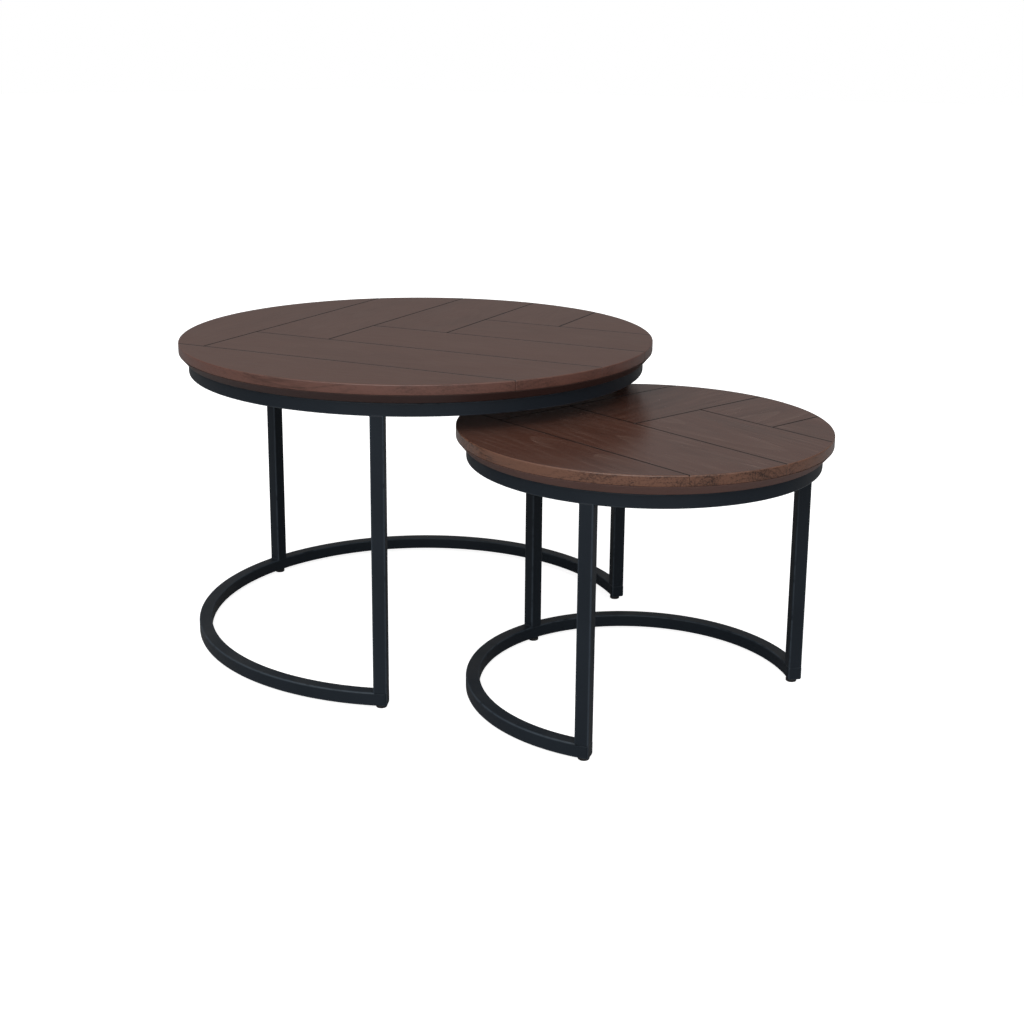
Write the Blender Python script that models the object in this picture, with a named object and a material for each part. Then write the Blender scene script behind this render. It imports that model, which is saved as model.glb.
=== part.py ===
"""Nesting tables: a small round table that slides under a large one.

Each table has a round top of boards laid in herringbone on a bevelled panel. A ring of square tube carries
the top, three legs carry the ring, and a floor arc ties the legs together. The arc stays open on the side
where the small table passes. Metres, +Z up, origin on the floor midway along both tables, and +X the way
the small table is drawn out.
"""

import math
from dataclasses import dataclass

import bmesh
import bpy
from mathutils import Vector

# Driving dimensions of the two tables.
LARGE_DIAMETER = 0.70
LARGE_HEIGHT = 0.45
SMALL_DIAMETER = 0.50
SMALL_HEIGHT = 0.38
DRAWN_OUT = 0.41  # between the two tables' axes, with the small table half out
BOARD_WIDTH = 0.128
TUBE = 0.019
LARGE_HALF_GAP = 56  # degrees from the middle of the open side to its legs
SMALL_HALF_GAP = 60
SMALL_TURN = -12  # degrees that the small table is turned from the large one
LARGE_BOARD_TURN = 14  # degrees from the open side's middle to the boards' run
SMALL_BOARD_TURN = 2
LARGE_FIRST_SEAM = -0.224  # the first board seam, from the table's axis
SMALL_FIRST_SEAM = -0.136

# The top, and where the ring sits under it.
BOARD_THICK = 0.0138
PANEL_THICK = 0.012
PANEL_BEVEL = 0.010
RING_SETBACK = 0.014  # of the ring's outer face from the top's edge
RIM_SEGMENTS = 90

# Frame details.
GAP = 0.0003  # left between pieces that touch
TUBE_WALL = 0.0012
TUBE_CORNER = 0.0025
CORNER_STEPS = 1
RING_SEGMENTS = 60
VENT_RADIUS = 0.004
CAP_THICK = 0.0012

# Tabs that hold the top down, with their screws.
TAB_LENGTH = 0.024
TAB_WIDTH = 0.026
TAB_THICK = 0.0025
TAB_CORNER = 0.006
TAB_WELD_GAP = 0.0008  # to the ring, whose inner face curves past the tab's straight end
TAB_HOLE_FROM_RING = 0.014
TAB_HOLE_RADIUS = 0.0025
SCREW_RADIUS = 0.0019
SCREW_LENGTH = 0.0120
SCREW_TIP = 0.0025
SCREW_HEAD_RADIUS = 0.0042
SCREW_HEAD_HEIGHT = 0.0028
PILOT_CLEARANCE = 0.0003

# Push-in glides under the floor arc.
GLIDE_RADIUS = 0.0075
GLIDE_HEIGHT = 0.005
GLIDE_ROUND = 0.0015
GLIDE_INSET = 0.002  # towards the table's axis from the tube's middle
STEM_RADIUS = 0.0030
STEM_HOLE_RADIUS = 0.0033
STEM_LENGTH = 0.0045
SMALL_SEGMENTS = 16

WOOD = ("stained_boards", (0.105, 0.062, 0.046), 0.38, 0.0)
PANEL = ("stained_panel", (0.045, 0.024, 0.019), 0.45, 0.0)
STEEL = ("black_powder_coat", (0.0145, 0.0190, 0.0235), 0.42, 0.55)
ZINC = ("zinc_screw", (0.55, 0.54, 0.50), 0.35, 1.0)
NYLON = ("black_nylon", (0.012, 0.012, 0.013), 0.55, 0.0)

X_AXIS = Vector((1, 0, 0))
Y_AXIS = Vector((0, 1, 0))
Z_AXIS = Vector((0, 0, 1))


@dataclass
class Table:
    """The sizes in which one table differs from the other."""

    name: str
    centre_x: float
    turn: float
    radius: float
    height: float
    half_gap: float
    board_turn: float
    first_seam: float
    seams: int

    @property
    def panel_bottom(self):
        return self.height - BOARD_THICK - GAP - PANEL_THICK

    @property
    def ring_middle(self):
        return self.panel_bottom - GAP - TUBE / 2

    @property
    def tube_radius(self):
        """From the table's axis to the middle of the ring's, legs' and arc's tube."""
        return self.radius - RING_SETBACK - TUBE / 2

    @property
    def legs(self):
        return {"back": 180, "left": self.half_gap, "right": -self.half_gap}

    @property
    def tabs(self):
        """Midway between neighbouring legs."""
        return {"front": 0, "left": (180 + self.half_gap) / 2, "right": -(180 + self.half_gap) / 2}


def clear_scene():
    for obj in list(bpy.data.objects):
        bpy.data.objects.remove(obj)


def material(spec):
    name, colour, roughness, metallic = spec
    found = bpy.data.materials.get(name)
    if found:
        return found
    made = bpy.data.materials.new(name)
    made.use_nodes = True
    shader = made.node_tree.nodes["Principled BSDF"]
    shader.inputs["Base Color"].default_value = (*colour, 1)
    shader.inputs["Roughness"].default_value = roughness
    shader.inputs["Metallic"].default_value = metallic
    made.diffuse_color = (*colour, 1)
    return made


def add_object(name, bm, finish, parent):
    """A named object from the bmesh, in its table's own frame."""
    mesh = bpy.data.meshes.new(name)
    bm.to_mesh(mesh)
    bm.free()
    obj = bpy.data.objects.new(name, mesh)
    bpy.context.scene.collection.objects.link(obj)
    obj.parent = parent
    if finish:
        mesh.materials.append(material(finish))
        mesh.shade_smooth()
        mesh.set_sharp_from_angle(angle=math.radians(35))
    return obj


def radial(degrees):
    angle = math.radians(degrees)
    return Vector((math.cos(angle), math.sin(angle), 0))


def drill(obj, name, holes):
    """Cuts cylinders from the object. A hole is (middle, radius, depth), with its axis upright."""
    bm = bmesh.new()
    for middle, radius, depth in holes:
        made = bmesh.ops.create_cone(
            bm, cap_ends=True, segments=SMALL_SEGMENTS, radius1=radius, radius2=radius, depth=depth
        )
        bmesh.ops.translate(bm, verts=made["verts"], vec=middle)
    cutter = add_object(name, bm, None, obj.parent)
    cutter.hide_render = True
    cutter.display_type = "WIRE"
    cut = obj.modifiers.new("holes", "BOOLEAN")
    cut.operation = "DIFFERENCE"
    cut.solver = "EXACT"
    cut.object = cutter


def rounded_square(size, corner):
    """Outline points of a square with rounded corners, anticlockwise from its first corner."""
    reach = size / 2 - corner
    points = []
    for quarter, (side_x, side_y) in enumerate(((1, 1), (-1, 1), (-1, -1), (1, -1))):
        for step in range(CORNER_STEPS + 1):
            angle = math.pi / 2 * (quarter + step / CORNER_STEPS)
            points.append((side_x * reach + corner * math.cos(angle), side_y * reach + corner * math.sin(angle)))
    return points


def square_tube(sections, closed):
    """A hollow square tube through its sections, each (middle, across, up) with across x up along the run."""
    outer = rounded_square(TUBE, TUBE_CORNER)
    inner = rounded_square(TUBE - 2 * TUBE_WALL, TUBE_CORNER - TUBE_WALL)
    sides = len(outer)
    bm = bmesh.new()
    loops = [
        [bm.verts.new(middle + across * x + up * y) for x, y in outer + inner] for middle, across, up in sections
    ]
    following = loops[1:] + loops[:1] if closed else loops[1:]
    for here, there in zip(loops, following):
        for side in range(sides):
            turned = (side + 1) % sides
            bm.faces.new((here[side], here[turned], there[turned], there[side]))
            bm.faces.new(
                (here[sides + turned], here[sides + side], there[sides + side], there[sides + turned])
            )
    if not closed:
        first, last = loops[0], loops[-1]
        for side in range(sides):
            turned = (side + 1) % sides
            bm.faces.new((first[turned], first[side], first[sides + side], first[sides + turned]))
            bm.faces.new((last[side], last[turned], last[sides + turned], last[sides + side]))
    return bm


def plate(outline, middle, across, up, thick):
    """A flat plate of the outline, centred on middle, with its thickness along across x up."""
    normal = across.cross(up)
    bm = bmesh.new()
    floor = [bm.verts.new(middle + across * x + up * y - normal * (thick / 2)) for x, y in outline]
    base = bm.faces.new(reversed(floor))
    raised = bmesh.ops.extrude_face_region(bm, geom=[base])["geom"]
    corners = [item for item in raised if isinstance(item, bmesh.types.BMVert)]
    bmesh.ops.translate(bm, verts=corners, vec=normal * thick)
    bmesh.ops.recalc_face_normals(bm, faces=bm.faces)
    return bm


def turned(profile, middle):
    """A solid of revolution about an upright axis. The profile is (radius, height) pairs, from the bottom."""
    bm = bmesh.new()
    rings = []
    for radius, height in profile:
        rings.append(
            [
                bm.verts.new(middle + radial(360 * step / SMALL_SEGMENTS) * radius + Z_AXIS * height)
                for step in range(SMALL_SEGMENTS)
            ]
        )
    for below, above in zip(rings, rings[1:]):
        for step in range(SMALL_SEGMENTS):
            onward = (step + 1) % SMALL_SEGMENTS
            bm.faces.new((below[step], below[onward], above[onward], above[step]))
    bm.faces.new(reversed(rings[0]))
    bm.faces.new(rings[-1])
    return bm


def add_boards(table, parent):
    """The herringbone: at each step one board runs along the pattern's first axis and one along its second.

    Every board is the round top cut back to its own strip, with half a gap left at each seam.
    """
    along = radial(table.board_turn)
    across = radial(table.board_turn + 90)
    seams = [table.first_seam + BOARD_WIDTH * step for step in range(table.seams)]
    strips = {"long_1": [(across, None, seams[0])], "cross_1": [(along, None, seams[0]), (across, seams[0], None)]}
    for step, seam in enumerate(seams):
        ahead = seams[step + 1] if step + 1 < len(seams) else None
        strips[f"long_{step + 2}"] = [(along, seam, None), (across, seam, ahead)]
        if ahead is not None:
            strips[f"cross_{step + 2}"] = [(along, seam, ahead), (across, ahead, None)]
    for name, limits in strips.items():
        bm = bmesh.new()
        bmesh.ops.create_cone(
            bm,
            cap_ends=True,
            segments=RIM_SEGMENTS,
            radius1=table.radius,
            radius2=table.radius,
            depth=BOARD_THICK,
        )
        bmesh.ops.translate(bm, verts=bm.verts, vec=Z_AXIS * (table.height - BOARD_THICK / 2))
        for axis, low, high in limits:
            if low is not None:
                trim(bm, axis * (low + GAP / 2), -axis)
            if high is not None:
                trim(bm, axis * (high - GAP / 2), axis)
        add_object(f"{table.name}_board_{name}", bm, WOOD, parent)


def trim(bm, point, outward):
    """Removes what lies past the plane, and closes the cut."""
    cut = bmesh.ops.bisect_plane(
        bm,
        geom=bm.verts[:] + bm.edges[:] + bm.faces[:],
        plane_co=point,
        plane_no=outward,
        clear_outer=True,
    )["geom_cut"]
    edges = [item for item in cut if isinstance(item, bmesh.types.BMEdge)]
    bmesh.ops.edgeloop_fill(bm, edges=edges)
    bmesh.ops.recalc_face_normals(bm, faces=bm.faces)


def add_panel(table, parent):
    """The panel under the boards, bevelled all round, with a pilot hole above each tab."""
    bm = bmesh.new()
    bmesh.ops.create_cone(
        bm,
        cap_ends=True,
        segments=RIM_SEGMENTS,
        radius1=table.radius - PANEL_BEVEL,
        radius2=table.radius,
        depth=PANEL_THICK,
    )
    bmesh.ops.translate(bm, verts=bm.verts, vec=Z_AXIS * (table.panel_bottom + PANEL_THICK / 2))
    panel = add_object(f"{table.name}_base_panel", bm, PANEL, parent)
    above_panel_bottom = SCREW_LENGTH - TAB_THICK - GAP + PILOT_CLEARANCE
    pilot_radius = SCREW_RADIUS + PILOT_CLEARANCE
    middles = [screw_axis(table, degrees) + Z_AXIS * table.panel_bottom for degrees in table.tabs.values()]
    holes = [(middle, pilot_radius, 2 * above_panel_bottom) for middle in middles]
    drill(panel, f"{table.name}_pilot_cutter", holes)


def add_ring(table, parent):
    """The ring under the top. A vent hole over each leg opens its hollow."""
    sections = []
    for step in range(RING_SEGMENTS):
        outward = radial(360 * step / RING_SEGMENTS)
        sections.append((outward * table.tube_radius + Z_AXIS * table.ring_middle, -outward, Z_AXIS))
    ring = add_object(f"{table.name}_ring", square_tube(sections, closed=True), STEEL, parent)
    wall_height = table.ring_middle - TUBE / 2 + TUBE_WALL / 2
    holes = [
        (radial(degrees) * table.tube_radius + Z_AXIS * wall_height, VENT_RADIUS, 3 * TUBE_WALL)
        for degrees in table.legs.values()
    ]
    drill(ring, f"{table.name}_vent_cutter", holes)


def add_floor_arc(table, parent):
    """The arc on the floor, from one leg of the open side round the back to the other.

    Its two ends are straight for the width of a leg, and each is closed by a cap plate.
    """
    middle_height = GLIDE_HEIGHT + TUBE / 2
    lift = Z_AXIS * middle_height
    stub = TUBE / 2 - CAP_THICK - GAP
    first, last = table.half_gap, 360 - table.half_gap
    bend = math.degrees(math.asin(TUBE / 2 / table.tube_radius))
    steps = round(RING_SEGMENTS * (last - first) / 360)
    sections = []
    for degrees, offset in ((first, -stub), (first, 0)):
        sections.append((arc_point(table, degrees, offset) + lift, -radial(degrees), Z_AXIS))
    for step in range(steps + 1):
        degrees = first + bend + (last - first - 2 * bend) * step / steps
        sections.append((arc_point(table, degrees, 0) + lift, -radial(degrees), Z_AXIS))
    for degrees, offset in ((last, 0), (last, stub)):
        sections.append((arc_point(table, degrees, offset) + lift, -radial(degrees), Z_AXIS))
    arc = add_object(f"{table.name}_floor_arc", square_tube(sections, closed=False), STEEL, parent)
    wall_height = GLIDE_HEIGHT + TUBE_WALL / 2
    holes = [
        (glide_axis(table, degrees) + Z_AXIS * wall_height, STEM_HOLE_RADIUS, 3 * TUBE_WALL)
        for degrees in table.legs.values()
    ]
    drill(arc, f"{table.name}_stem_cutter", holes)
    outline = rounded_square(TUBE, TUBE_CORNER)
    cap_offset = TUBE / 2 - CAP_THICK / 2
    for side, degrees, offset in (("left", first, -cap_offset), ("right", last, cap_offset)):
        middle = arc_point(table, degrees, offset) + lift
        cap = plate(outline, middle, -radial(degrees), Z_AXIS, CAP_THICK)
        add_object(f"{table.name}_arc_cap_{side}", cap, STEEL, parent)


def arc_point(table, degrees, offset):
    """A point on the tube's middle line, moved along the tangent by the offset."""
    return radial(degrees) * table.tube_radius + radial(degrees + 90) * offset


def add_legs(table, parent):
    bottom = GLIDE_HEIGHT + TUBE + GAP
    top = table.ring_middle - TUBE / 2 - GAP
    for side, degrees in table.legs.items():
        foot = radial(degrees) * table.tube_radius
        sections = [(foot + Z_AXIS * height, radial(degrees), radial(degrees + 90)) for height in (bottom, top)]
        add_object(f"{table.name}_leg_{side}", square_tube(sections, closed=False), STEEL, parent)


def glide_axis(table, degrees):
    return radial(degrees) * (table.tube_radius - GLIDE_INSET)


def add_glides(table, parent):
    """Round feet with a stem pushed into the floor arc."""
    top = GLIDE_HEIGHT - GAP
    profile = [
        (GLIDE_RADIUS - GLIDE_ROUND, 0),
        (GLIDE_RADIUS, GLIDE_ROUND),
        (GLIDE_RADIUS, top),
        (STEM_RADIUS, top),
        (STEM_RADIUS, top + STEM_LENGTH),
    ]
    for side, degrees in table.legs.items():
        add_object(f"{table.name}_glide_{side}", turned(profile, glide_axis(table, degrees)), NYLON, parent)


def screw_axis(table, degrees):
    return radial(degrees) * (table.tube_radius - TUBE / 2 - TAB_HOLE_FROM_RING)


def add_tabs(table, parent):
    """Steel tabs inside the ring, level with its top, each with a screw up into the panel."""
    tab_top = table.ring_middle + TUBE / 2
    half_width = TAB_WIDTH / 2
    corner_reach = half_width - TAB_CORNER
    outline = [(-TAB_LENGTH / 2, half_width), (-TAB_LENGTH / 2, -half_width)]
    for side in (-1, 1):
        for step in range(CORNER_STEPS + 1):
            angle = math.pi / 2 * (step / CORNER_STEPS + (side - 1) / 2)
            x = TAB_LENGTH / 2 - TAB_CORNER + TAB_CORNER * math.cos(angle)
            outline.append((x, side * corner_reach + TAB_CORNER * math.sin(angle)))
    head_top = tab_top - TAB_THICK - GAP
    screw = [
        (SCREW_HEAD_RADIUS * 0.55, -SCREW_HEAD_HEIGHT),
        (SCREW_HEAD_RADIUS * 0.88, -SCREW_HEAD_HEIGHT * 0.72),
        (SCREW_HEAD_RADIUS, -SCREW_HEAD_HEIGHT * 0.3),
        (SCREW_HEAD_RADIUS, 0),
        (SCREW_RADIUS, 0),
        (SCREW_RADIUS, SCREW_LENGTH - SCREW_TIP),
        (SCREW_RADIUS / 4, SCREW_LENGTH),
    ]
    for side, degrees in table.tabs.items():
        inward = -radial(degrees)
        sideways = Z_AXIS.cross(inward)
        inner_face = table.tube_radius - TUBE / 2 - TAB_WELD_GAP
        middle = radial(degrees) * (inner_face - TAB_LENGTH / 2) + Z_AXIS * (tab_top - TAB_THICK / 2)
        tab = add_object(
            f"{table.name}_tab_{side}", plate(outline, middle, inward, sideways, TAB_THICK), STEEL, parent
        )
        hole = (screw_axis(table, degrees) + Z_AXIS * middle.z, TAB_HOLE_RADIUS, 3 * TAB_THICK)
        drill(tab, f"{table.name}_tab_cutter_{side}", [hole])
        seat = screw_axis(table, degrees) + Z_AXIS * head_top
        add_object(f"{table.name}_screw_{side}", turned(screw, seat), ZINC, parent)


def add_table(table):
    parent = bpy.data.objects.new(f"{table.name}_table", None)
    bpy.context.scene.collection.objects.link(parent)
    parent.location = (table.centre_x, 0, 0)
    parent.rotation_euler = (0, 0, math.radians(table.turn))
    for add_pieces in (add_boards, add_panel, add_ring, add_legs, add_floor_arc, add_glides, add_tabs):
        add_pieces(table, parent)


def main():
    clear_scene()
    large_radius = LARGE_DIAMETER / 2
    small_radius = SMALL_DIAMETER / 2
    large_x = (large_radius - DRAWN_OUT - small_radius) / 2
    large = Table(
        name="large",
        centre_x=large_x,
        turn=0,
        radius=large_radius,
        height=LARGE_HEIGHT,
        half_gap=LARGE_HALF_GAP,
        board_turn=LARGE_BOARD_TURN,
        first_seam=LARGE_FIRST_SEAM,
        seams=4,
    )
    small = Table(
        name="small",
        centre_x=large_x + DRAWN_OUT,
        turn=SMALL_TURN,
        radius=small_radius,
        height=SMALL_HEIGHT,
        half_gap=SMALL_HALF_GAP,
        board_turn=SMALL_BOARD_TURN,
        first_seam=SMALL_FIRST_SEAM,
        seams=3,
    )
    add_table(large)
    add_table(small)


main()
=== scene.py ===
"""Looks of two round nesting tables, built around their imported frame.

Each table has a herringbone top of stained boards on a bevelled panel, carried by a ring of square tube on
three legs, with a floor arc that is open on one side so that the small table can slide under the large one.
Every visible piece is a fine surface that stands for one CAD node and rides on its table. Metres, +Z up.
"""

import itertools
import logging
import math
from collections.abc import Iterator, Sequence
from dataclasses import dataclass, field
from enum import Enum

import bmesh
import bpy
import numpy as np
from mathutils import Matrix, Vector


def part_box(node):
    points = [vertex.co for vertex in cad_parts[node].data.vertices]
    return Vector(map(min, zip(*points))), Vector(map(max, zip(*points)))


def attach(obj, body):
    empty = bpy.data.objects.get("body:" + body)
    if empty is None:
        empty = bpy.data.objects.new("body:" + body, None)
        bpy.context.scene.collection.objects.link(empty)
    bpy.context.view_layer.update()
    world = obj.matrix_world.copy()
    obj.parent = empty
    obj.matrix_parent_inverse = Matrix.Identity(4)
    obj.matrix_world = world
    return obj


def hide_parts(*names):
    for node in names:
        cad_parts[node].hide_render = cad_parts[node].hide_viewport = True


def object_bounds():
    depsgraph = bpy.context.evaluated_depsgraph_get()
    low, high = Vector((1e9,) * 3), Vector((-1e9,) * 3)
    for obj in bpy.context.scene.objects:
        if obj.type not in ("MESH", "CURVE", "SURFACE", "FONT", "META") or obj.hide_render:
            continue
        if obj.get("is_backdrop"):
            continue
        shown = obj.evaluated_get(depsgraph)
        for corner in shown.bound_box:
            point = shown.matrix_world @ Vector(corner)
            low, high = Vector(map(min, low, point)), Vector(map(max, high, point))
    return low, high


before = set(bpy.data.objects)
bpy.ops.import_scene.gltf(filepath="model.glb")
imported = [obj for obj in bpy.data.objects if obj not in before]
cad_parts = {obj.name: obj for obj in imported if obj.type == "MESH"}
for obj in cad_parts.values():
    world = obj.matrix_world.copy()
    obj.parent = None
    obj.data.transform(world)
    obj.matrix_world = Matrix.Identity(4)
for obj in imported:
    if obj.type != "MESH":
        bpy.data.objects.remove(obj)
cad_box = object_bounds()

LOG = logging.getLogger("nesting_tables")
TAU = 2 * math.pi
UP = np.array([0.0, 0.0, 1.0])
MERGE_DISTANCE = 1e-6

Colour = tuple[float, float, float]
Seam = tuple[tuple[float, float], float]
Socket = bpy.types.NodeSocket
Sockets = dict[str, Socket]
Value = float | Sequence[float] | Socket


class Which(Enum):
    """The two tables, by the word that starts their pieces' names."""

    LARGE = "large"
    SMALL = "small"

    @property
    def body(self) -> str:
        """The name of the CAD body that the table's pieces ride on."""
        return f"{self.value}_table"


class Leg(Enum):
    """The three legs of a table."""

    BACK = "back"
    LEFT = "left"
    RIGHT = "right"


class Fixing(Enum):
    """The three tabs that hold a top down, each midway between two legs."""

    FRONT = "front"
    LEFT = "left"
    RIGHT = "right"


class Run(Enum):
    """The two ways in which the boards of a herringbone lie."""

    LONG = "long"
    CROSS = "cross"


class Slot(Enum):
    """The material slots of the pieces."""

    BOARDS = "stained_boards"
    PANEL = "stained_panel"
    FRAME = "black_frame"
    SCREWS = "zinc_screws"
    NYLON = "black_nylon"


class Mark(Enum):
    """Attributes that a piece's mesh carries for its finish."""

    GRAIN = "grain"  # the point in its board's own timber: along, across and through the grain
    TONE = "tone"  # how dark the board took the stain
    ARRIS = "arris"  # 1 on a rounded edge
    GROOVE = "groove"  # 1 in a seam between boards
    SIDE = "side"  # 1 on an edge face, 0 on a broad face


# ---------------------------------------------------------------------------------------------------------
# Surfaces
# ---------------------------------------------------------------------------------------------------------


def radial(angle: float | np.ndarray) -> np.ndarray:
    """Level unit vectors at an angle, in radians from +X.

    Args:
        angle: One angle, or an array of them.

    Returns:
        The vectors, with three numbers on the last axis.
    """
    return np.stack([np.cos(angle), np.sin(angle), np.zeros_like(angle)], axis=-1)


def quarter_turn(vector: np.ndarray) -> np.ndarray:
    """The level vector turned a right angle to the left."""
    return np.array([-vector[1], vector[0], 0.0])[: len(vector)]


def rounded_square(size: float, corner: float, steps: int) -> tuple[np.ndarray, np.ndarray]:
    """The outline of a square with rounded corners.

    Each corner is a quarter circle about the point that lies one corner radius in from both its sides.

    Args:
        size: Width of the square.
        corner: Radius of its corners.
        steps: Straight pieces in each corner.

    Returns:
        The points, anticlockwise, and how deep each lies in its corner: 0 at a flat and 1 half way round.
    """
    quarter = np.arange(4)[:, None] * math.pi / 2
    within = np.linspace(0, 1, steps + 1)[None, :]
    reach = (size / 2 - corner) * math.sqrt(2)
    angle = quarter + within * math.pi / 2
    x = reach * np.cos(quarter + math.pi / 4) + corner * np.cos(angle)
    y = reach * np.sin(quarter + math.pi / 4) + corner * np.sin(angle)
    depth = np.broadcast_to(np.sin(math.pi * within), x.shape)
    return np.stack([x.ravel(), y.ravel()], axis=-1), depth.ravel()


def swept(section: np.ndarray, middles: np.ndarray, across: np.ndarray, up: np.ndarray) -> np.ndarray:
    """A section carried along a path: each point is the path's point + x of the section * across + y * up.

    Args:
        section: Points (x, y) of the section, shape (columns, 2), or one section per row.
        middles: Points of the path, shape (rows, 3).
        across: Direction of the section's x at each point of the path.
        up: Direction of its y.

    Returns:
        A grid with one row per point of the path.
    """
    sections = np.broadcast_to(section, (len(middles), *section.shape[-2:]))
    return middles[:, None] + sections[..., :1] * across[:, None] + sections[..., 1:] * up[:, None]


def turned(profile: np.ndarray, middle: np.ndarray, segments: int) -> np.ndarray:
    """A profile turned about an upright axis: each row is the circle of one profile point.

    Args:
        profile: Pairs of (radius, height), shape (rows, 2).
        middle: The foot of the axis.
        segments: Points round each circle.

    Returns:
        A grid with one row per profile point.
    """
    spokes = radial(np.arange(segments) * TAU / segments)
    return middle + profile[:, :1, None] * spokes[None] + profile[:, 1:, None] * UP


def capped(grid: np.ndarray) -> np.ndarray:
    """The grid with its first and last rows drawn in to their middles, which closes its two ends."""
    ends = grid[[0, -1]].mean(axis=1, keepdims=True) * np.ones((1, grid.shape[1], 1))
    return np.concatenate([ends[:1], grid, ends[1:]])


def ripple(angle: np.ndarray, waves: Sequence[tuple[int, float, float]]) -> np.ndarray:
    """A gentle unevenness round a circle: a sum of cosines, scaled to lie from 0 to 1.

    Args:
        angle: Angles, in radians.
        waves: Each wave's count round the circle, height and phase.

    Returns:
        The unevenness at each angle.
    """
    total = sum(height * np.cos(count * angle + phase) for count, height, phase in waves)
    return 0.5 + 0.5 * total / sum(height for _, height, _ in waves)


@dataclass
class Skin:
    """The closed surfaces of one piece, put together from grids of points, with their marks."""

    points: list[np.ndarray] = field(default_factory=list)
    quads: list[np.ndarray] = field(default_factory=list)
    marks: dict[Mark, list[np.ndarray]] = field(default_factory=dict)

    @classmethod
    def of(
        cls, grid: np.ndarray, closed_rows: bool = False, marks: dict[Mark, np.ndarray] | None = None
    ) -> "Skin":
        """A skin of one grid.

        Args:
            grid: As in add.
            closed_rows: As in add.
            marks: As in add.

        Returns:
            The skin.
        """
        skin = cls()
        skin.add(grid, closed_rows, marks)
        return skin

    def add(
        self, grid: np.ndarray, closed_rows: bool = False, marks: dict[Mark, np.ndarray] | None = None
    ) -> None:
        """Adds a grid whose columns run round the piece, and turns its faces outwards.

        The sign of the enclosed volume, a third of the sum of middle . normal over the faces, says which
        way the faces look.

        Args:
            grid: Points, shape (rows, columns, 3).
            closed_rows: Whether the last row also joins the first, as round a ring.
            marks: A value, or three, for each point of the grid.
        """
        rows, columns = grid.shape[:2]
        index = np.arange(rows * columns).reshape(rows, columns)
        index = np.hstack([index, index[:, :1]])
        if closed_rows:
            index = np.vstack([index, index[:1]])
        around = (index[:-1, :-1], index[:-1, 1:], index[1:, 1:], index[1:, :-1])
        quads = np.stack(around, axis=-1).reshape(-1, 4)
        flat = grid.reshape(-1, 3)
        corners = flat[quads] - flat.mean(axis=0)
        normals = np.cross(corners[:, 2] - corners[:, 0], corners[:, 3] - corners[:, 1])
        if np.einsum("ij,ij->", corners.mean(axis=1), normals) < 0:
            quads = quads[:, ::-1]
        self.quads.append(quads + sum(len(part) for part in self.points))
        self.points.append(flat)
        for mark, values in (marks or {}).items():
            width = 3 if mark is Mark.GRAIN else 1
            spread = np.broadcast_to(values, grid.shape[:2] + values.shape[2:])
            self.marks.setdefault(mark, []).append(spread.reshape(-1, width))

    def mesh(self, name: str) -> bpy.types.Mesh:
        """Makes the mesh, with the points that coincide at poles and seams merged.

        Args:
            name: The mesh's name.

        Returns:
            The mesh, shaded smooth, with one attribute for each mark.
        """
        mesh = bpy.data.meshes.new(name)
        mesh.from_pydata(np.concatenate(self.points).tolist(), [], np.concatenate(self.quads).tolist())
        for mark, parts in self.marks.items():
            values = np.concatenate(parts)
            kind, key = ("FLOAT_VECTOR", "vector") if values.shape[1] == 3 else ("FLOAT", "value")
            attribute = mesh.attributes.new(mark.value, kind, "POINT")
            attribute.data.foreach_set(key, values.astype(np.float32).ravel())
        work = bmesh.new()
        work.from_mesh(mesh)
        bmesh.ops.remove_doubles(work, verts=work.verts, dist=MERGE_DISTANCE)
        work.to_mesh(mesh)
        work.free()
        mesh.shade_smooth()
        return mesh


def put(
    name: str, skin: Skin, finish: bpy.types.Material, which: Which, slot: Slot, stands_for: Sequence[str]
) -> None:
    """Makes a piece of its skin and hands it to the frame.

    Args:
        name: The piece's name.
        skin: Its surface.
        finish: Its material.
        which: The table it rides on.
        slot: Its material slot.
        stands_for: The CAD nodes that it replaces.
    """
    mesh = skin.mesh(name)
    mesh.materials.append(finish)
    piece = bpy.data.objects.new(name, mesh)
    bpy.context.scene.collection.objects.link(piece)
    normals = piece.modifiers.new("broad faces first", "WEIGHTED_NORMAL")
    normals.keep_sharp = True
    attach(piece, which.body)
    if stands_for:
        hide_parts(*stands_for)
    nodes = ", ".join(stands_for) or "no node"
    LOG.info("%s: %d points, %s, stands for %s", name, len(mesh.vertices), slot.value, nodes)


# ---------------------------------------------------------------------------------------------------------
# Finishes
# ---------------------------------------------------------------------------------------------------------


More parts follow.
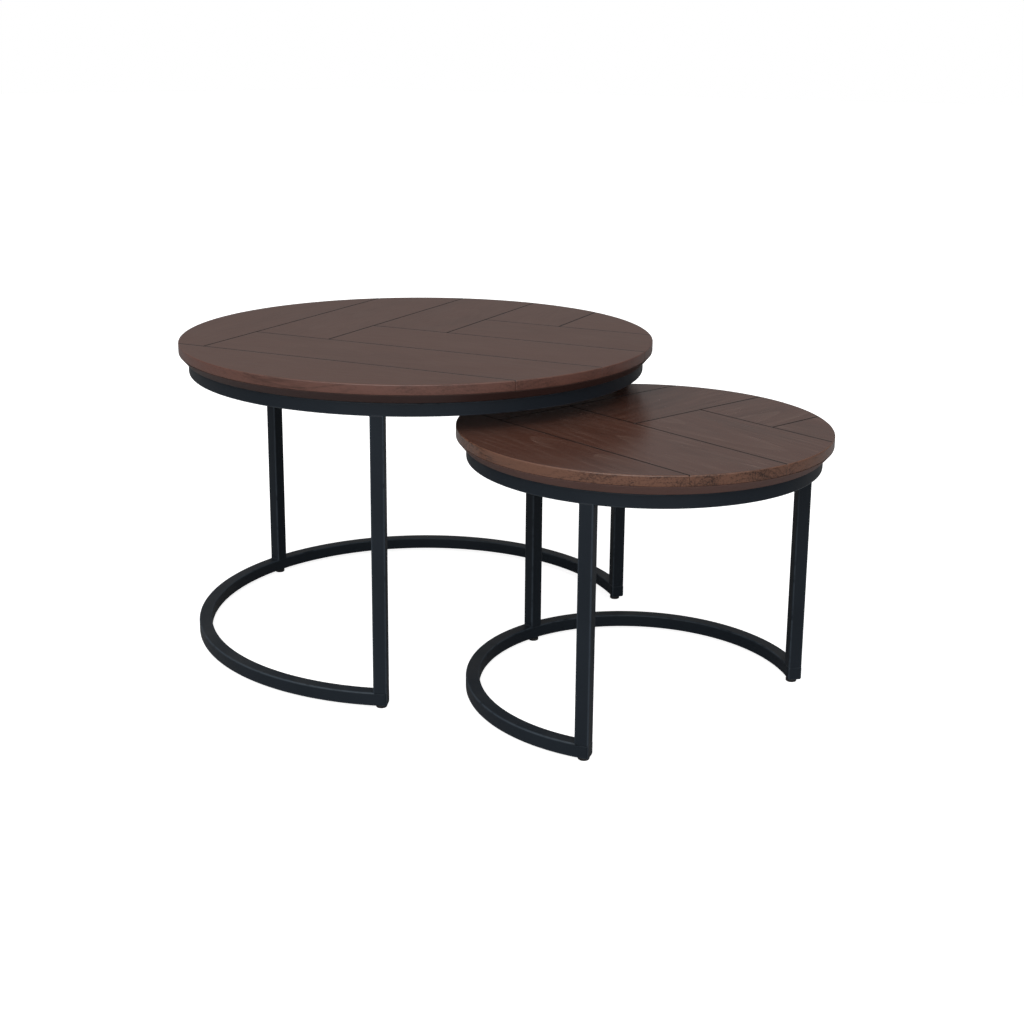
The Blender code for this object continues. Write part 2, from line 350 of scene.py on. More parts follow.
@dataclass(frozen=True)
class Nodes:
    """A node tree, with short calls that add a node and join its inputs."""

    tree: bpy.types.NodeTree

    def add(
        self, kind: str, inputs: dict[str | int, Value] | None = None, **settings: object
    ) -> bpy.types.Node:
        """Adds a node.

        Args:
            kind: The node's type, without its ShaderNode prefix.
            inputs: A value or a socket for each input, by name or number.
            settings: The node's own settings.

        Returns:
            The node.
        """
        node = self.tree.nodes.new(f"ShaderNode{kind}")
        for name, value in settings.items():
            setattr(node, name, value)
        for name, value in (inputs or {}).items():
            if isinstance(value, Socket):
                self.tree.links.new(value, node.inputs[name])
            else:
                node.inputs[name].default_value = value
        return node

    def math(self, operation: str, *values: Value) -> Socket:
        """The result of a Math node on the values."""
        return self.add("Math", dict(enumerate(values)), operation=operation).outputs[0]

    def plus(self, first: Value, second: Value) -> Socket:
        """The sum of two values."""
        return self.math("ADD", first, second)

    def minus(self, first: Value, second: Value) -> Socket:
        """The first value less the second."""
        return self.math("SUBTRACT", first, second)

    def times(self, first: Value, second: Value) -> Socket:
        """The product of two values."""
        return self.math("MULTIPLY", first, second)

    def vector(self, operation: str, *values: Value) -> Socket:
        """The vector result of a Vector Math node on the values."""
        return self.add("VectorMath", dict(enumerate(values)), operation=operation).outputs[0]

    def ramp(
        self, value: Value, low: float, high: float, to_low: float = 0.0, to_high: float = 1.0
    ) -> Socket:
        """The value eased from low...high into to_low...to_high, and held past its ends."""
        inputs = {"Value": value, "From Min": low, "From Max": high, "To Min": to_low, "To Max": to_high}
        return self.add("MapRange", inputs, interpolation_type="SMOOTHSTEP").outputs[0]

    def noise(self, place: Value, stretch: Sequence[float], detail: float = 2.0) -> Socket:
        """Noise from 0 to 1 with this many features to a metre on each axis."""
        scaled = self.vector("MULTIPLY", place, tuple(stretch))
        return self.add("TexNoise", {"Vector": scaled, "Scale": 1.0, "Detail": detail}).outputs["Fac"]

    def blend(self, share: Value, below: Value, above: Value) -> Socket:
        """Two colours mixed: a share of the upper one over the lower one."""
        node = self.add("Mix", data_type="RGBA")
        colours = [socket for socket in node.inputs if socket.type == "RGBA"]
        for socket, value in ((node.inputs[0], share), (colours[0], below), (colours[1], above)):
            if isinstance(value, Socket):
                self.tree.links.new(value, socket)
            elif socket.type == "RGBA":
                socket.default_value = (*value, 1.0)
            else:
                socket.default_value = value
        return next(socket for socket in node.outputs if socket.type == "RGBA")

    def mark(self, mark: Mark) -> Socket:
        """What the piece's mesh says of this mark."""
        attribute = self.add("Attribute", attribute_name=mark.value, attribute_type="GEOMETRY")
        return attribute.outputs["Vector" if mark is Mark.GRAIN else "Fac"]

    def place(self) -> Socket:
        """The point in Object coordinates."""
        return self.add("TexCoord").outputs["Object"]

    def bump(self, height: Value, depth: float) -> Socket:
        """A normal raised by the height, which is this many metres deep at 1."""
        return self.add("Bump", {"Height": height, "Distance": depth, "Strength": 1.0}).outputs["Normal"]


class Effect:
    """A shader node group that several finishes share, built once."""

    name = ""
    inputs: dict[str, tuple[str, float]] = {}
    outputs: tuple[str, ...] = ()

    @classmethod
    def group(cls) -> bpy.types.NodeTree:
        """The group, made on its first use.

        Returns:
            The shader node tree, with its named sockets.
        """
        tree = bpy.data.node_groups.get(cls.name)
        if tree:
            return tree
        tree = bpy.data.node_groups.new(cls.name, "ShaderNodeTree")
        for name, (kind, default) in cls.inputs.items():
            socket = tree.interface.new_socket(name, in_out="INPUT", socket_type=f"NodeSocket{kind}")
            if kind == "Float":
                socket.default_value = default
        for name in cls.outputs:
            tree.interface.new_socket(name, in_out="OUTPUT", socket_type="NodeSocketFloat")
        source = tree.nodes.new("NodeGroupInput")
        sink = tree.nodes.new("NodeGroupOutput")
        results = cls.build(Nodes(tree), {name: source.outputs[name] for name in cls.inputs})
        for name, result in results.items():
            tree.links.new(result, sink.inputs[name])
        return tree

    @classmethod
    def build(cls, nodes: Nodes, given: Sockets) -> Sockets:
        """Makes the group's inner nodes.

        Args:
            nodes: The group's tree.
            given: Its input sockets, by name.

        Returns:
            The socket for each output, by name.
        """
        raise NotImplementedError

    @classmethod
    def use(cls, nodes: Nodes, **values: Value) -> Sockets:
        """Places the group in a material.

        Args:
            nodes: The material's tree.
            values: A value or a socket for each input, with _ for each space in its name.

        Returns:
            The group's outputs, by name.
        """
        node = nodes.add("Group", node_tree=cls.group())
        for name, value in values.items():
            socket = node.inputs[name.replace("_", " ")]
            if isinstance(value, Socket):
                nodes.tree.links.new(value, socket)
            else:
                socket.default_value = value
        return {name: node.outputs[name] for name in cls.outputs}


class TimberGrain(Effect):
    """Growth rings about a pith line that wanders, with fibres and open pores drawn out along the grain.

    Rings are the part after the point of (distance from the pith / ring width), raised to a power so that
    each ring darkens slowly and ends sharply.
    """

    name = "timber grain"
    inputs = {"Timber": ("Vector", 0.0), "Ring Width": ("Float", 0.004), "Wander": ("Float", 0.012)}
    outputs = ("Rings", "Fibres", "Threads", "Pores", "Patches")
    # Features to a metre along, across and through the grain.
    bends = (2.6, 9.0, 9.0)
    drifts = (1.5, 30.0, 30.0)
    bands = (3.0, 45.0, 45.0)
    fibres = (22.0, 520.0, 520.0)
    threads = (4.5, 300.0, 300.0)
    pores = (55.0, 1300.0, 1300.0)
    patches = (5.0, 22.0, 22.0)
    ring_drift = 0.9  # in ring widths
    late_wood = 2.6  # the power that sharpens a ring's end

    @classmethod
    def build(cls, nodes: Nodes, given: Sockets) -> Sockets:
        """Makes the rings, fibres, pores and patches."""
        timber = given["Timber"]
        scaled = nodes.vector("MULTIPLY", timber, cls.bends)
        bend = nodes.add("TexNoise", {"Vector": scaled, "Scale": 1.0, "Detail": 1.5})
        centred = nodes.vector("SUBTRACT", bend.outputs["Color"], (0.5, 0.5, 0.5))
        shift = nodes.add("VectorMath", {0: centred, "Scale": given["Wander"]}, operation="SCALE").outputs[0]
        moved = nodes.vector("ADD", timber, shift)
        across = nodes.vector("MULTIPLY", moved, (0.0, 1.0, 1.0))
        from_pith = nodes.add("VectorMath", {0: across}, operation="LENGTH").outputs["Value"]
        phase = nodes.math("DIVIDE", from_pith, given["Ring Width"])
        uneven = nodes.noise(timber, cls.drifts, 1.0)
        ring = nodes.math("FRACT", nodes.plus(phase, nodes.times(uneven, cls.ring_drift)))
        late = nodes.math("POWER", ring, cls.late_wood)
        strength = nodes.ramp(nodes.noise(timber, cls.bands, 1.0), 0.3, 0.7, 0.35, 1.0)
        fibres = nodes.noise(timber, cls.fibres, 3.0)
        threads = nodes.ramp(nodes.noise(timber, cls.threads, 2.0), 0.52, 0.68)
        pores = nodes.ramp(nodes.noise(timber, cls.pores, 1.0), 0.6, 0.72)
        patches = nodes.noise(timber, cls.patches, 2.0)
        rings = nodes.times(late, strength)
        return {"Rings": rings, "Fibres": fibres, "Threads": threads, "Pores": pores, "Patches": patches}


class EdgeWearAndHighlight(Effect):
    """A broken line along rounded edges, for worn edges and, on the boards and the powder coat, a painted
    highlight: the arris mark where a noise allows it.
    """

    name = "edge wear"
    inputs = {
        "Place": ("Vector", 0.0),
        "Arris": ("Float", 0.0),
        "Breaks": ("Float", 60.0),
        "Cover": ("Float", 0.5),
    }
    outputs = ("WearAndHighlight",)

    @classmethod
    def build(cls, nodes: Nodes, given: Sockets) -> Sockets:
        """Makes the mask."""
        noise = nodes.add("TexNoise", {"Vector": given["Place"], "Scale": given["Breaks"], "Detail": 3.0})
        open_share = nodes.minus(1.0, given["Cover"])
        shown = nodes.minus(noise.outputs["Fac"], nodes.times(open_share, 0.8))
        return {"WearAndHighlight": nodes.times(given["Arris"], nodes.ramp(shown, 0.0, 0.25))}


class Dust(Effect):
    """Fine dust that settles in soft patches on faces that look up."""

    name = "settled dust"
    inputs = {"Place": ("Vector", 0.0), "Amount": ("Float", 0.1)}
    outputs = ("Dust",)

    @classmethod
    def build(cls, nodes: Nodes, given: Sockets) -> Sockets:
        """Makes the mask: the upward part of the normal times a soft noise."""
        normal = nodes.add("NewGeometry").outputs["Normal"]
        upward = nodes.ramp(nodes.add("SeparateXYZ", {0: normal}).outputs["Z"], 0.2, 0.95)
        patches = nodes.ramp(nodes.noise(given["Place"], (17.0, 17.0, 17.0), 5.0), 0.35, 0.75)
        return {"Dust": nodes.times(nodes.times(upward, patches), given["Amount"])}


class OrangePeel(Effect):
    """The slight orange peel of a sprayed coat: two sizes of soft noise."""

    name = "orange peel"
    inputs = {"Place": ("Vector", 0.0), "Fineness": ("Float", 600.0)}
    outputs = ("Height",)
    broad_fineness = 90.0
    broad_share = 1.5

    @classmethod
    def build(cls, nodes: Nodes, given: Sockets) -> Sockets:
        """Makes the height."""
        fine = nodes.add("TexNoise", {"Vector": given["Place"], "Scale": given["Fineness"], "Detail": 1.0})
        broad = nodes.add("TexNoise", {"Vector": given["Place"], "Scale": cls.broad_fineness, "Detail": 1.0})
        return {"Height": nodes.plus(fine.outputs["Fac"], nodes.times(broad.outputs["Fac"], cls.broad_share))}


@dataclass(frozen=True)
class Finish:
    """What every finish has: a name, and a Principled shader that its own nodes feed."""

    name: str
    roughness: float

    def material(self) -> bpy.types.Material:
        """The finish's material, made on its first use.

        Returns:
            The material.
        """
        made = bpy.data.materials.get(self.name)
        if made:
            return made
        made = bpy.data.materials.new(self.name)
        made.use_nodes = True
        shader = made.node_tree.nodes["Principled BSDF"]
        nodes = Nodes(made.node_tree)
        for socket, value in self.feeds(nodes).items():
            if isinstance(value, Socket):
                made.node_tree.links.new(value, shader.inputs[socket])
            else:
                shader.inputs[socket].default_value = value
        return made

    def feeds(self, nodes: Nodes) -> dict[str, Value]:
        """What feeds each input of the shader.

        Args:
            nodes: The material's tree.

        Returns:
            A value or a socket for each input, by name.
        """
        raise NotImplementedError


@dataclass(frozen=True)
class StainedTimber(Finish):
    """Open-grained timber under a walnut stain and a satin lacquer.

    A broad face is stained evenly, with pale lines where growth rings end. An edge face takes the stain
    unevenly, so its streaks are stronger. Seams hold more stain and are painted near-black, which also paints
    the shade in their grooves. Arrises are worn thin and painted paler, which also paints a highlight along
    them.
    """

    pale: Colour
    dark: Colour
    line: Colour
    edge_pale: Colour
    edge_dark: Colour
    # paler colour on the arrises: worn lacquer, and a painted highlight along the rim
    worn_and_highlit: Colour
    figure: float  # how strongly the timber shows on a broad face
    edge_figure: float  # and on an edge face
    ring_width: float
    # near-black seam colour: stain pooled in the groove, darkened further as painted shade of the groove
    seam: Colour = (0.006, 0.004, 0.004)
    seam_stain_and_shade_share: float = 0.92
    # share of that paler colour on the arrises, for worn lacquer and a painted highlight
    wear_and_highlight_cover: float = 0.35
    settled: Colour = (0.32, 0.29, 0.26)
    relief: float = 0.00005

    def face_colour(self, nodes: Nodes, grain: Sockets, fibres: Socket, drawn: Socket) -> Socket:
        """The stain on a broad face: its tone, under pale lines where rings end and threads run.

        Args:
            nodes: The material's tree.
            grain: The grain's outputs.
            fibres: The fibres, with more contrast.
            drawn: Fibres and patches together.

        Returns:
            The colour.
        """
        tone = nodes.plus(nodes.times(drawn, self.figure), nodes.mark(Mark.TONE))
        face = nodes.blend(nodes.ramp(tone, 0.0, 1.0), self.pale, self.dark)
        open_grain = nodes.plus(nodes.math("POWER", grain["Rings"], 1.4), nodes.times(grain["Threads"], 0.55))
        thin = nodes.times(open_grain, self.figure)
        return nodes.blend(nodes.times(thin, nodes.ramp(fibres, 0.0, 1.0, 0.4, 1.0)), face, self.line)

    def edge_colour(self, nodes: Nodes, grain: Sockets, drawn: Socket) -> Socket:
        """The stain on an edge face, streaked by rings, fibres and pores.

        Args:
            nodes: The material's tree.
            grain: The grain's outputs.
            drawn: Fibres and patches together.

        Returns:
            The colour.
        """
        streaks = nodes.plus(nodes.times(grain["Rings"], 0.5), nodes.times(drawn, 1.2))
        streaks = nodes.plus(streaks, nodes.times(grain["Pores"], 0.5))
        tone = nodes.times(nodes.minus(streaks, 0.15), self.edge_figure)
        return nodes.blend(nodes.ramp(tone, 0.0, 1.0), self.edge_pale, self.edge_dark)

    def surface(self, nodes: Nodes, grain: Sockets, place: Socket) -> Socket:
        """The lacquer's normal: a trace of fibres, pores and rings under its orange peel.

        Args:
            nodes: The material's tree.
            grain: The grain's outputs.
            place: The point in Object coordinates.

        Returns:
            The normal.
        """
        relief = nodes.minus(nodes.times(grain["Fibres"], 0.6), nodes.times(grain["Pores"], 0.15))
        relief = nodes.minus(relief, nodes.times(grain["Rings"], 0.8))
        peel = OrangePeel.use(nodes, Place=place, Fineness=260.0)["Height"]
        return nodes.bump(nodes.plus(relief, nodes.times(peel, 0.35)), self.relief)

    def feeds(self, nodes: Nodes) -> dict[str, Value]:
        """The stain's colour, the lacquer's gloss, and a trace of the grain in its surface."""
        place = nodes.place()
        grain = TimberGrain.use(nodes, Timber=nodes.mark(Mark.GRAIN), Ring_Width=self.ring_width)
        fibres = nodes.ramp(grain["Fibres"], 0.3, 0.7)
        patches = nodes.ramp(grain["Patches"], 0.25, 0.75, -0.35, 0.45)
        drawn = nodes.plus(nodes.times(fibres, 0.55), patches)
        face = self.face_colour(nodes, grain, fibres, drawn)
        edge = self.edge_colour(nodes, grain, drawn)
        stained = nodes.blend(nodes.mark(Mark.SIDE), face, edge)
        # a broken paler line on the arrises: worn lacquer and a painted highlight
        wear_and_highlight = EdgeWearAndHighlight.use(nodes, Place=place, Arris=nodes.mark(Mark.ARRIS), Breaks=45.0, Cover=0.55)["WearAndHighlight"]
        worn_and_highlit = nodes.blend(nodes.times(wear_and_highlight, self.wear_and_highlight_cover), stained, self.worn_and_highlit)
        # seams painted near-black: pooled stain plus painted shade in the groove
        seams_stained_and_shaded = nodes.blend(nodes.times(nodes.mark(Mark.GROOVE), self.seam_stain_and_shade_share), worn_and_highlit, self.seam)
        dust = Dust.use(nodes, Place=place, Amount=0.02)["Dust"]
        return {
            "Base Color": nodes.blend(dust, seams_stained_and_shaded, self.settled),
            "Roughness": nodes.plus(self.roughness, nodes.times(grain["Fibres"], 0.10)),
            "Normal": self.surface(nodes, grain, place),
        }


@dataclass(frozen=True)
class PowderCoat(Finish):
    """Black powder coat on steel: a little orange peel, paler arrises that are worn coat and a painted
    highlight, and a trace of dust.
    """

    colour: Colour
    # paler blue-grey arris colour: worn coat and a painted highlight
    worn_and_highlit: Colour
    settled: Colour = (0.25, 0.24, 0.22)
    clouding: float = 1.35  # how much paler its cloudy parts may be

    def feeds(self, nodes: Nodes) -> dict[str, Value]:
        """The coat's colour, gloss and peel."""
        place = nodes.place()
        cloud = nodes.ramp(nodes.noise(place, (14.0, 14.0, 14.0), 3.0), 0.3, 0.7)
        cloudy = tuple(self.clouding * part for part in self.colour)
        base = nodes.blend(nodes.times(cloud, 0.35), self.colour, cloudy)
        # a broken paler line on the tube's arrises: worn coat and a painted highlight
        wear_and_highlight = EdgeWearAndHighlight.use(nodes, Place=place, Arris=nodes.mark(Mark.ARRIS), Breaks=70.0, Cover=0.7)["WearAndHighlight"]
        worn = nodes.blend(nodes.times(wear_and_highlight, 0.5), base, self.worn_and_highlit)
        dust = Dust.use(nodes, Place=place, Amount=0.05)["Dust"]
        return {
            "Base Color": nodes.blend(dust, worn, self.settled),
            "Roughness": nodes.plus(self.roughness, nodes.times(cloud, 0.08)),
            "Specular IOR Level": 0.2,
            "Normal": nodes.bump(OrangePeel.use(nodes, Place=place, Fineness=850.0)["Height"], 0.00004),
        }


@dataclass(frozen=True)
class Zinc(Finish):
    """Bright zinc plating on a screw, with the faint mottle of its passivation."""

    colour: Colour

    def feeds(self, nodes: Nodes) -> dict[str, Value]:
        """The plating's colour and gloss."""
        place = nodes.place()
        mottle = nodes.ramp(nodes.noise(place, (700.0, 700.0, 700.0), 3.0), 0.3, 0.7)
        return {
            "Base Color": nodes.blend(nodes.times(mottle, 0.4), self.colour, (0.62, 0.55, 0.38)),
            "Metallic": 1.0,
            "Roughness": nodes.plus(self.roughness, nodes.times(mottle, 0.15)),
            "Normal": nodes.bump(OrangePeel.use(nodes, Place=place, Fineness=2500.0)["Height"], 0.00001),
        }


@dataclass(frozen=True)
class Nylon(Finish):
    """Moulded black nylon with a fine spark-eroded texture, scuffed where it slides."""

    colour: Colour

    def feeds(self, nodes: Nodes) -> dict[str, Value]:
        """The plastic's colour, texture and scuffs."""
        place = nodes.place()
        wear_and_highlight = EdgeWearAndHighlight.use(nodes, Place=place, Arris=nodes.mark(Mark.ARRIS), Breaks=400.0, Cover=0.6)["WearAndHighlight"]
        return {
            "Base Color": nodes.blend(nodes.times(wear_and_highlight, 0.4), self.colour, (0.06, 0.06, 0.06)),
            "Roughness": nodes.plus(self.roughness, nodes.times(wear_and_highlight, 0.2)),
            "Normal": nodes.bump(OrangePeel.use(nodes, Place=place, Fineness=3000.0)["Height"], 0.00002),
        }


LARGE_BOARDS = StainedTimber(
    name="stained_boards_large",
    roughness=0.30,
    pale=(0.102, 0.0435, 0.0295),
    dark=(0.037, 0.017, 0.012),
    line=(0.160, 0.090, 0.068),
    edge_pale=(0.130, 0.058, 0.044),
    edge_dark=(0.050, 0.022, 0.016),
    worn_and_highlit=(0.16, 0.080, 0.058),
    figure=0.30,
    edge_figure=0.60,
    ring_width=0.0060,
)
SMALL_BOARDS = StainedTimber(
    name="stained_boards_small",
    roughness=0.20,
    pale=(0.095, 0.0380, 0.0250),
    dark=(0.030, 0.013, 0.009),
    line=(0.200, 0.122, 0.095),
    edge_pale=(0.150, 0.070, 0.045),
    edge_dark=(0.034, 0.016, 0.011),
    worn_and_highlit=(0.17, 0.085, 0.055),
    figure=0.48,
    edge_figure=0.90,
    ring_width=0.0070,
)
# Darker copy of the small panel: its bevel colours are about half as bright, a painted shade of the bevel
# under the large top.
LARGE_PANEL_SHADED_BEVEL = StainedTimber(
    name="stained_panel_large",
    roughness=0.50,
    pale=(0.070, 0.036, 0.029),
    dark=(0.030, 0.015, 0.012),
    line=(0.080, 0.042, 0.033),
    edge_pale=(0.044, 0.020, 0.017),
    edge_dark=(0.024, 0.011, 0.009),
    worn_and_highlit=(0.15, 0.070, 0.042),
    figure=0.10,
    edge_figure=0.25,
    ring_width=0.006,
)
SMALL_PANEL = StainedTimber(
    name="stained_panel_small",
    roughness=0.50,
    pale=(0.080, 0.040, 0.032),
    dark=(0.032, 0.016, 0.013),
    line=(0.090, 0.047, 0.037),
    edge_pale=(0.125, 0.062, 0.050),
    edge_dark=(0.065, 0.032, 0.026),
    worn_and_highlit=(0.17, 0.085, 0.055),
    figure=0.10,
    edge_figure=0.35,
    ring_width=0.006,
)
BLACK_COAT = PowderCoat(
    name="black_powder_coat",
    roughness=0.42,
    colour=(0.0100, 0.0145, 0.0205),
    worn_and_highlit=(0.060, 0.078, 0.098),
)
ZINC = Zinc(name="zinc_plate", roughness=0.28, colour=(0.56, 0.56, 0.55))
BLACK_NYLON = Nylon(name="black_nylon_moulding", roughness=0.55, colour=(0.010, 0.010, 0.011))


# ---------------------------------------------------------------------------------------------------------
# Where things are
# ---------------------------------------------------------------------------------------------------------


def box_of(*nodes: str) -> tuple[np.ndarray, np.ndarray]:
    """The lowest and highest corner of the box round some CAD nodes."""
    boxes = np.array([[list(corner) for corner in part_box(node)] for node in nodes])
    return boxes[:, 0].min(axis=0), boxes[:, 1].max(axis=0)


@dataclass(frozen=True)
class Places:
    """Where one table's pieces are, read from its CAD nodes."""

    which: Which

    def node(self, piece: str) -> str:
        """The name of the table's CAD node for a piece."""
        return f"{self.which.value}_{piece}"

    def middle(self, piece: str) -> np.ndarray:
        """The middle of a piece's box."""
        low, high = box_of(self.node(piece))
        return (low + high) / 2

    def heights(self, piece: str) -> tuple[float, float]:
        """The lowest and highest point of a piece."""
        low, high = box_of(self.node(piece))
        return float(low[2]), float(high[2])

    def width(self, *pieces: str) -> float:
        """The smaller side of the box round some pieces, seen from above."""
        low, high = box_of(*(self.node(piece) for piece in pieces))
        return float((high - low)[:2].min())

    @property
    def axis(self) -> np.ndarray:
        """The foot of the table's upright axis."""
        return self.middle("ring") * (1, 1, 0)

    @property
    def tube(self) -> float:
        """The width of the frame's square tube."""
        low, high = self.heights("ring")
        return high - low

    @property
    def tube_radius(self) -> float:
        """From the table's axis to the middle of the tube."""
        return (self.width("ring") - self.tube) / 2

    def angle(self, piece: str) -> float:
        """The direction of a piece from the table's axis, in radians."""
        x, y, _ = self.middle(piece) - self.axis
        return math.atan2(y, x)

    @property
    def turn(self) -> float:
        """How far the table is turned from +X, in radians: the back leg stands opposite."""
        return self.angle(f"leg_{Leg.BACK.value}") - math.pi

    def put(self, name: str, skin: Skin, finish: Finish, slot: Slot, *stands_for: str) -> None:
        """Makes a piece of the table.

        Args:
            name: The piece's name, without the table's.
            skin: Its surface.
            finish: Its finish.
            slot: Its material slot.
            stands_for: The pieces whose CAD nodes it replaces.
        """
        nodes = [self.node(piece) for piece in stands_for]
        put(self.node(name), skin, finish.material(), self.which, slot, nodes)


# ---------------------------------------------------------------------------------------------------------
# The top
# ---------------------------------------------------------------------------------------------------------

RIM = -1  # the round side of a board, among its straight sides 0, 1, ...


@dataclass(frozen=True)
class BoardPlan:
    """The plan of one board: the round top, cut back by straight seams.

    Each seam is a unit normal that points into the board, and the seam's distance from the axis along it.
    Sides are followed anticlockwise. A corner is the pair (side that arrives, side that leaves).
    """

    radius: float
    seams: tuple[Seam, ...]
    rim_step: float = 0.004
    seam_step: float = 0.010
    corner_step: float = 0.0012

    def meeting(self, arriving: int, leaving: int, rim_inset: float, seam_inset: float) -> np.ndarray:
        """Where two sides meet, once each is moved into the board.

        Two seams meet at the solution of p . normal = distance for both. A seam meets the rim at
        normal * distance, moved along the seam by the square root of (radius^2 - distance^2).

        Args:
            arriving: The side that runs up to the corner.
            leaving: The side that runs on from it.
            rim_inset: How far the rim is moved in.
            seam_inset: How far the seams are moved in.

        Returns:
            The corner, (x, y).
        """
        if RIM in (arriving, leaving):
            normal, distance = self.seams[max(arriving, leaving)]
            reach = distance + seam_inset
            slide = math.copysign(math.sqrt((self.radius - rim_inset) ** 2 - reach**2), leaving - arriving)
            return np.array(normal) * reach + quarter_turn(np.array(normal)) * slide
        normals, distances = zip(self.seams[arriving], self.seams[leaving])
        return np.linalg.solve(np.array(normals), np.array(distances) + seam_inset)

    def holds(self, point: np.ndarray) -> bool:
        """Whether the board holds a point, its sides included."""
        slack = 1e-9
        inside = all(np.dot(normal, point) >= distance - slack for normal, distance in self.seams)
        return bool(inside and np.hypot(*point) <= self.radius + slack)

    @property
    def corners(self) -> list[tuple[int, int]]:
        """The board's corners in order, anticlockwise."""
        count = range(len(self.seams))
        pairs = [(RIM, side) for side in count] + [(side, RIM) for side in count]
        for first, second in itertools.permutations(count, 2):
            (a, b), (c, d) = self.seams[first][0], self.seams[second][0]
            if a * d - b * c > 0.5:
                pairs.append((first, second))
        after = {}
        for arriving, leaving in pairs:
            if self.reaches(arriving, leaving):
                after[arriving] = (arriving, leaving)
        ordered = [after[RIM]]
        while ordered[-1][1] != RIM:
            ordered.append(after[ordered[-1][1]])
        return ordered

    def reaches(self, arriving: int, leaving: int) -> bool:
        """Whether two sides meet on the board."""
        seam = self.seams[max(arriving, leaving)]
        if RIM in (arriving, leaving) and abs(seam[1]) >= self.radius:
            return False
        return self.holds(self.meeting(arriving, leaving, 0.0, 0.0))

    def shares(self, length: float, step: float) -> np.ndarray:
        """How far along a side its points lie, from 0 up to but not including 1, closer at its two ends."""
        count = max(2, math.ceil(length / step))
        even = np.linspace(0, 1, count + 1)[1:-1]
        close = self.corner_step / length
        between = even[(even > 2 * close) & (even < 1 - 2 * close)]
        return np.unique(np.concatenate([[0.0, close], between, [1 - close]]))

    def loops(self, insets: Sequence[tuple[float, float]]) -> tuple[np.ndarray, np.ndarray, np.ndarray]:
        """The outline at several insets, with the same points along each side every time.

        A straight side is start + share * (end - start), and the rim is a circle's angle shared out so.

        Args:
            insets: Pairs of (rim inset, seam inset), one for each loop.

        Returns:
            Points of shape (loops, columns, 2), and for each column whether it is on the rim and on a seam.
        """
        corners = self.corners
        sides = list(zip(corners, corners[1:] + corners[:1]))
        spots = [[self.meeting(*corner, *inset) for corner in corners] for inset in insets]
        parts, on_rim, on_seam = [], [], []
        for place, ((_, side), _) in enumerate(sides):
            here = np.array([loop[place] for loop in spots])[:, None]
            there = np.array([loop[(place + 1) % len(corners)] for loop in spots])[:, None]
            length = float(np.linalg.norm(there[0] - here[0]))
            if side == RIM:
                start = np.arctan2(here[..., 1], here[..., 0])
                sweep = (np.arctan2(there[..., 1], there[..., 0]) - start) % TAU
                share = self.shares(float(sweep[0, 0]) * self.radius, self.rim_step)
                angle = start + sweep * share[None]
                radius = np.hypot(here[..., 0], here[..., 1])
                parts.append(radius[..., None] * np.stack([np.cos(angle), np.sin(angle)], axis=-1))
            else:
                share = self.shares(length, self.seam_step)
                parts.append(here + share[None, :, None] * (there - here))
            on_rim.append(np.full(len(share), side == RIM))
            on_seam.append(np.full(len(share), side != RIM))
        rim, seam = np.concatenate(on_rim), np.concatenate(on_seam)
        first = np.cumsum([0] + [len(part) for part in on_rim[:-1]])
        rim[first] |= np.roll(rim, 1)[first]
        seam[first] |= np.roll(seam, 1)[first]
        return np.concatenate(parts, axis=1), rim, seam


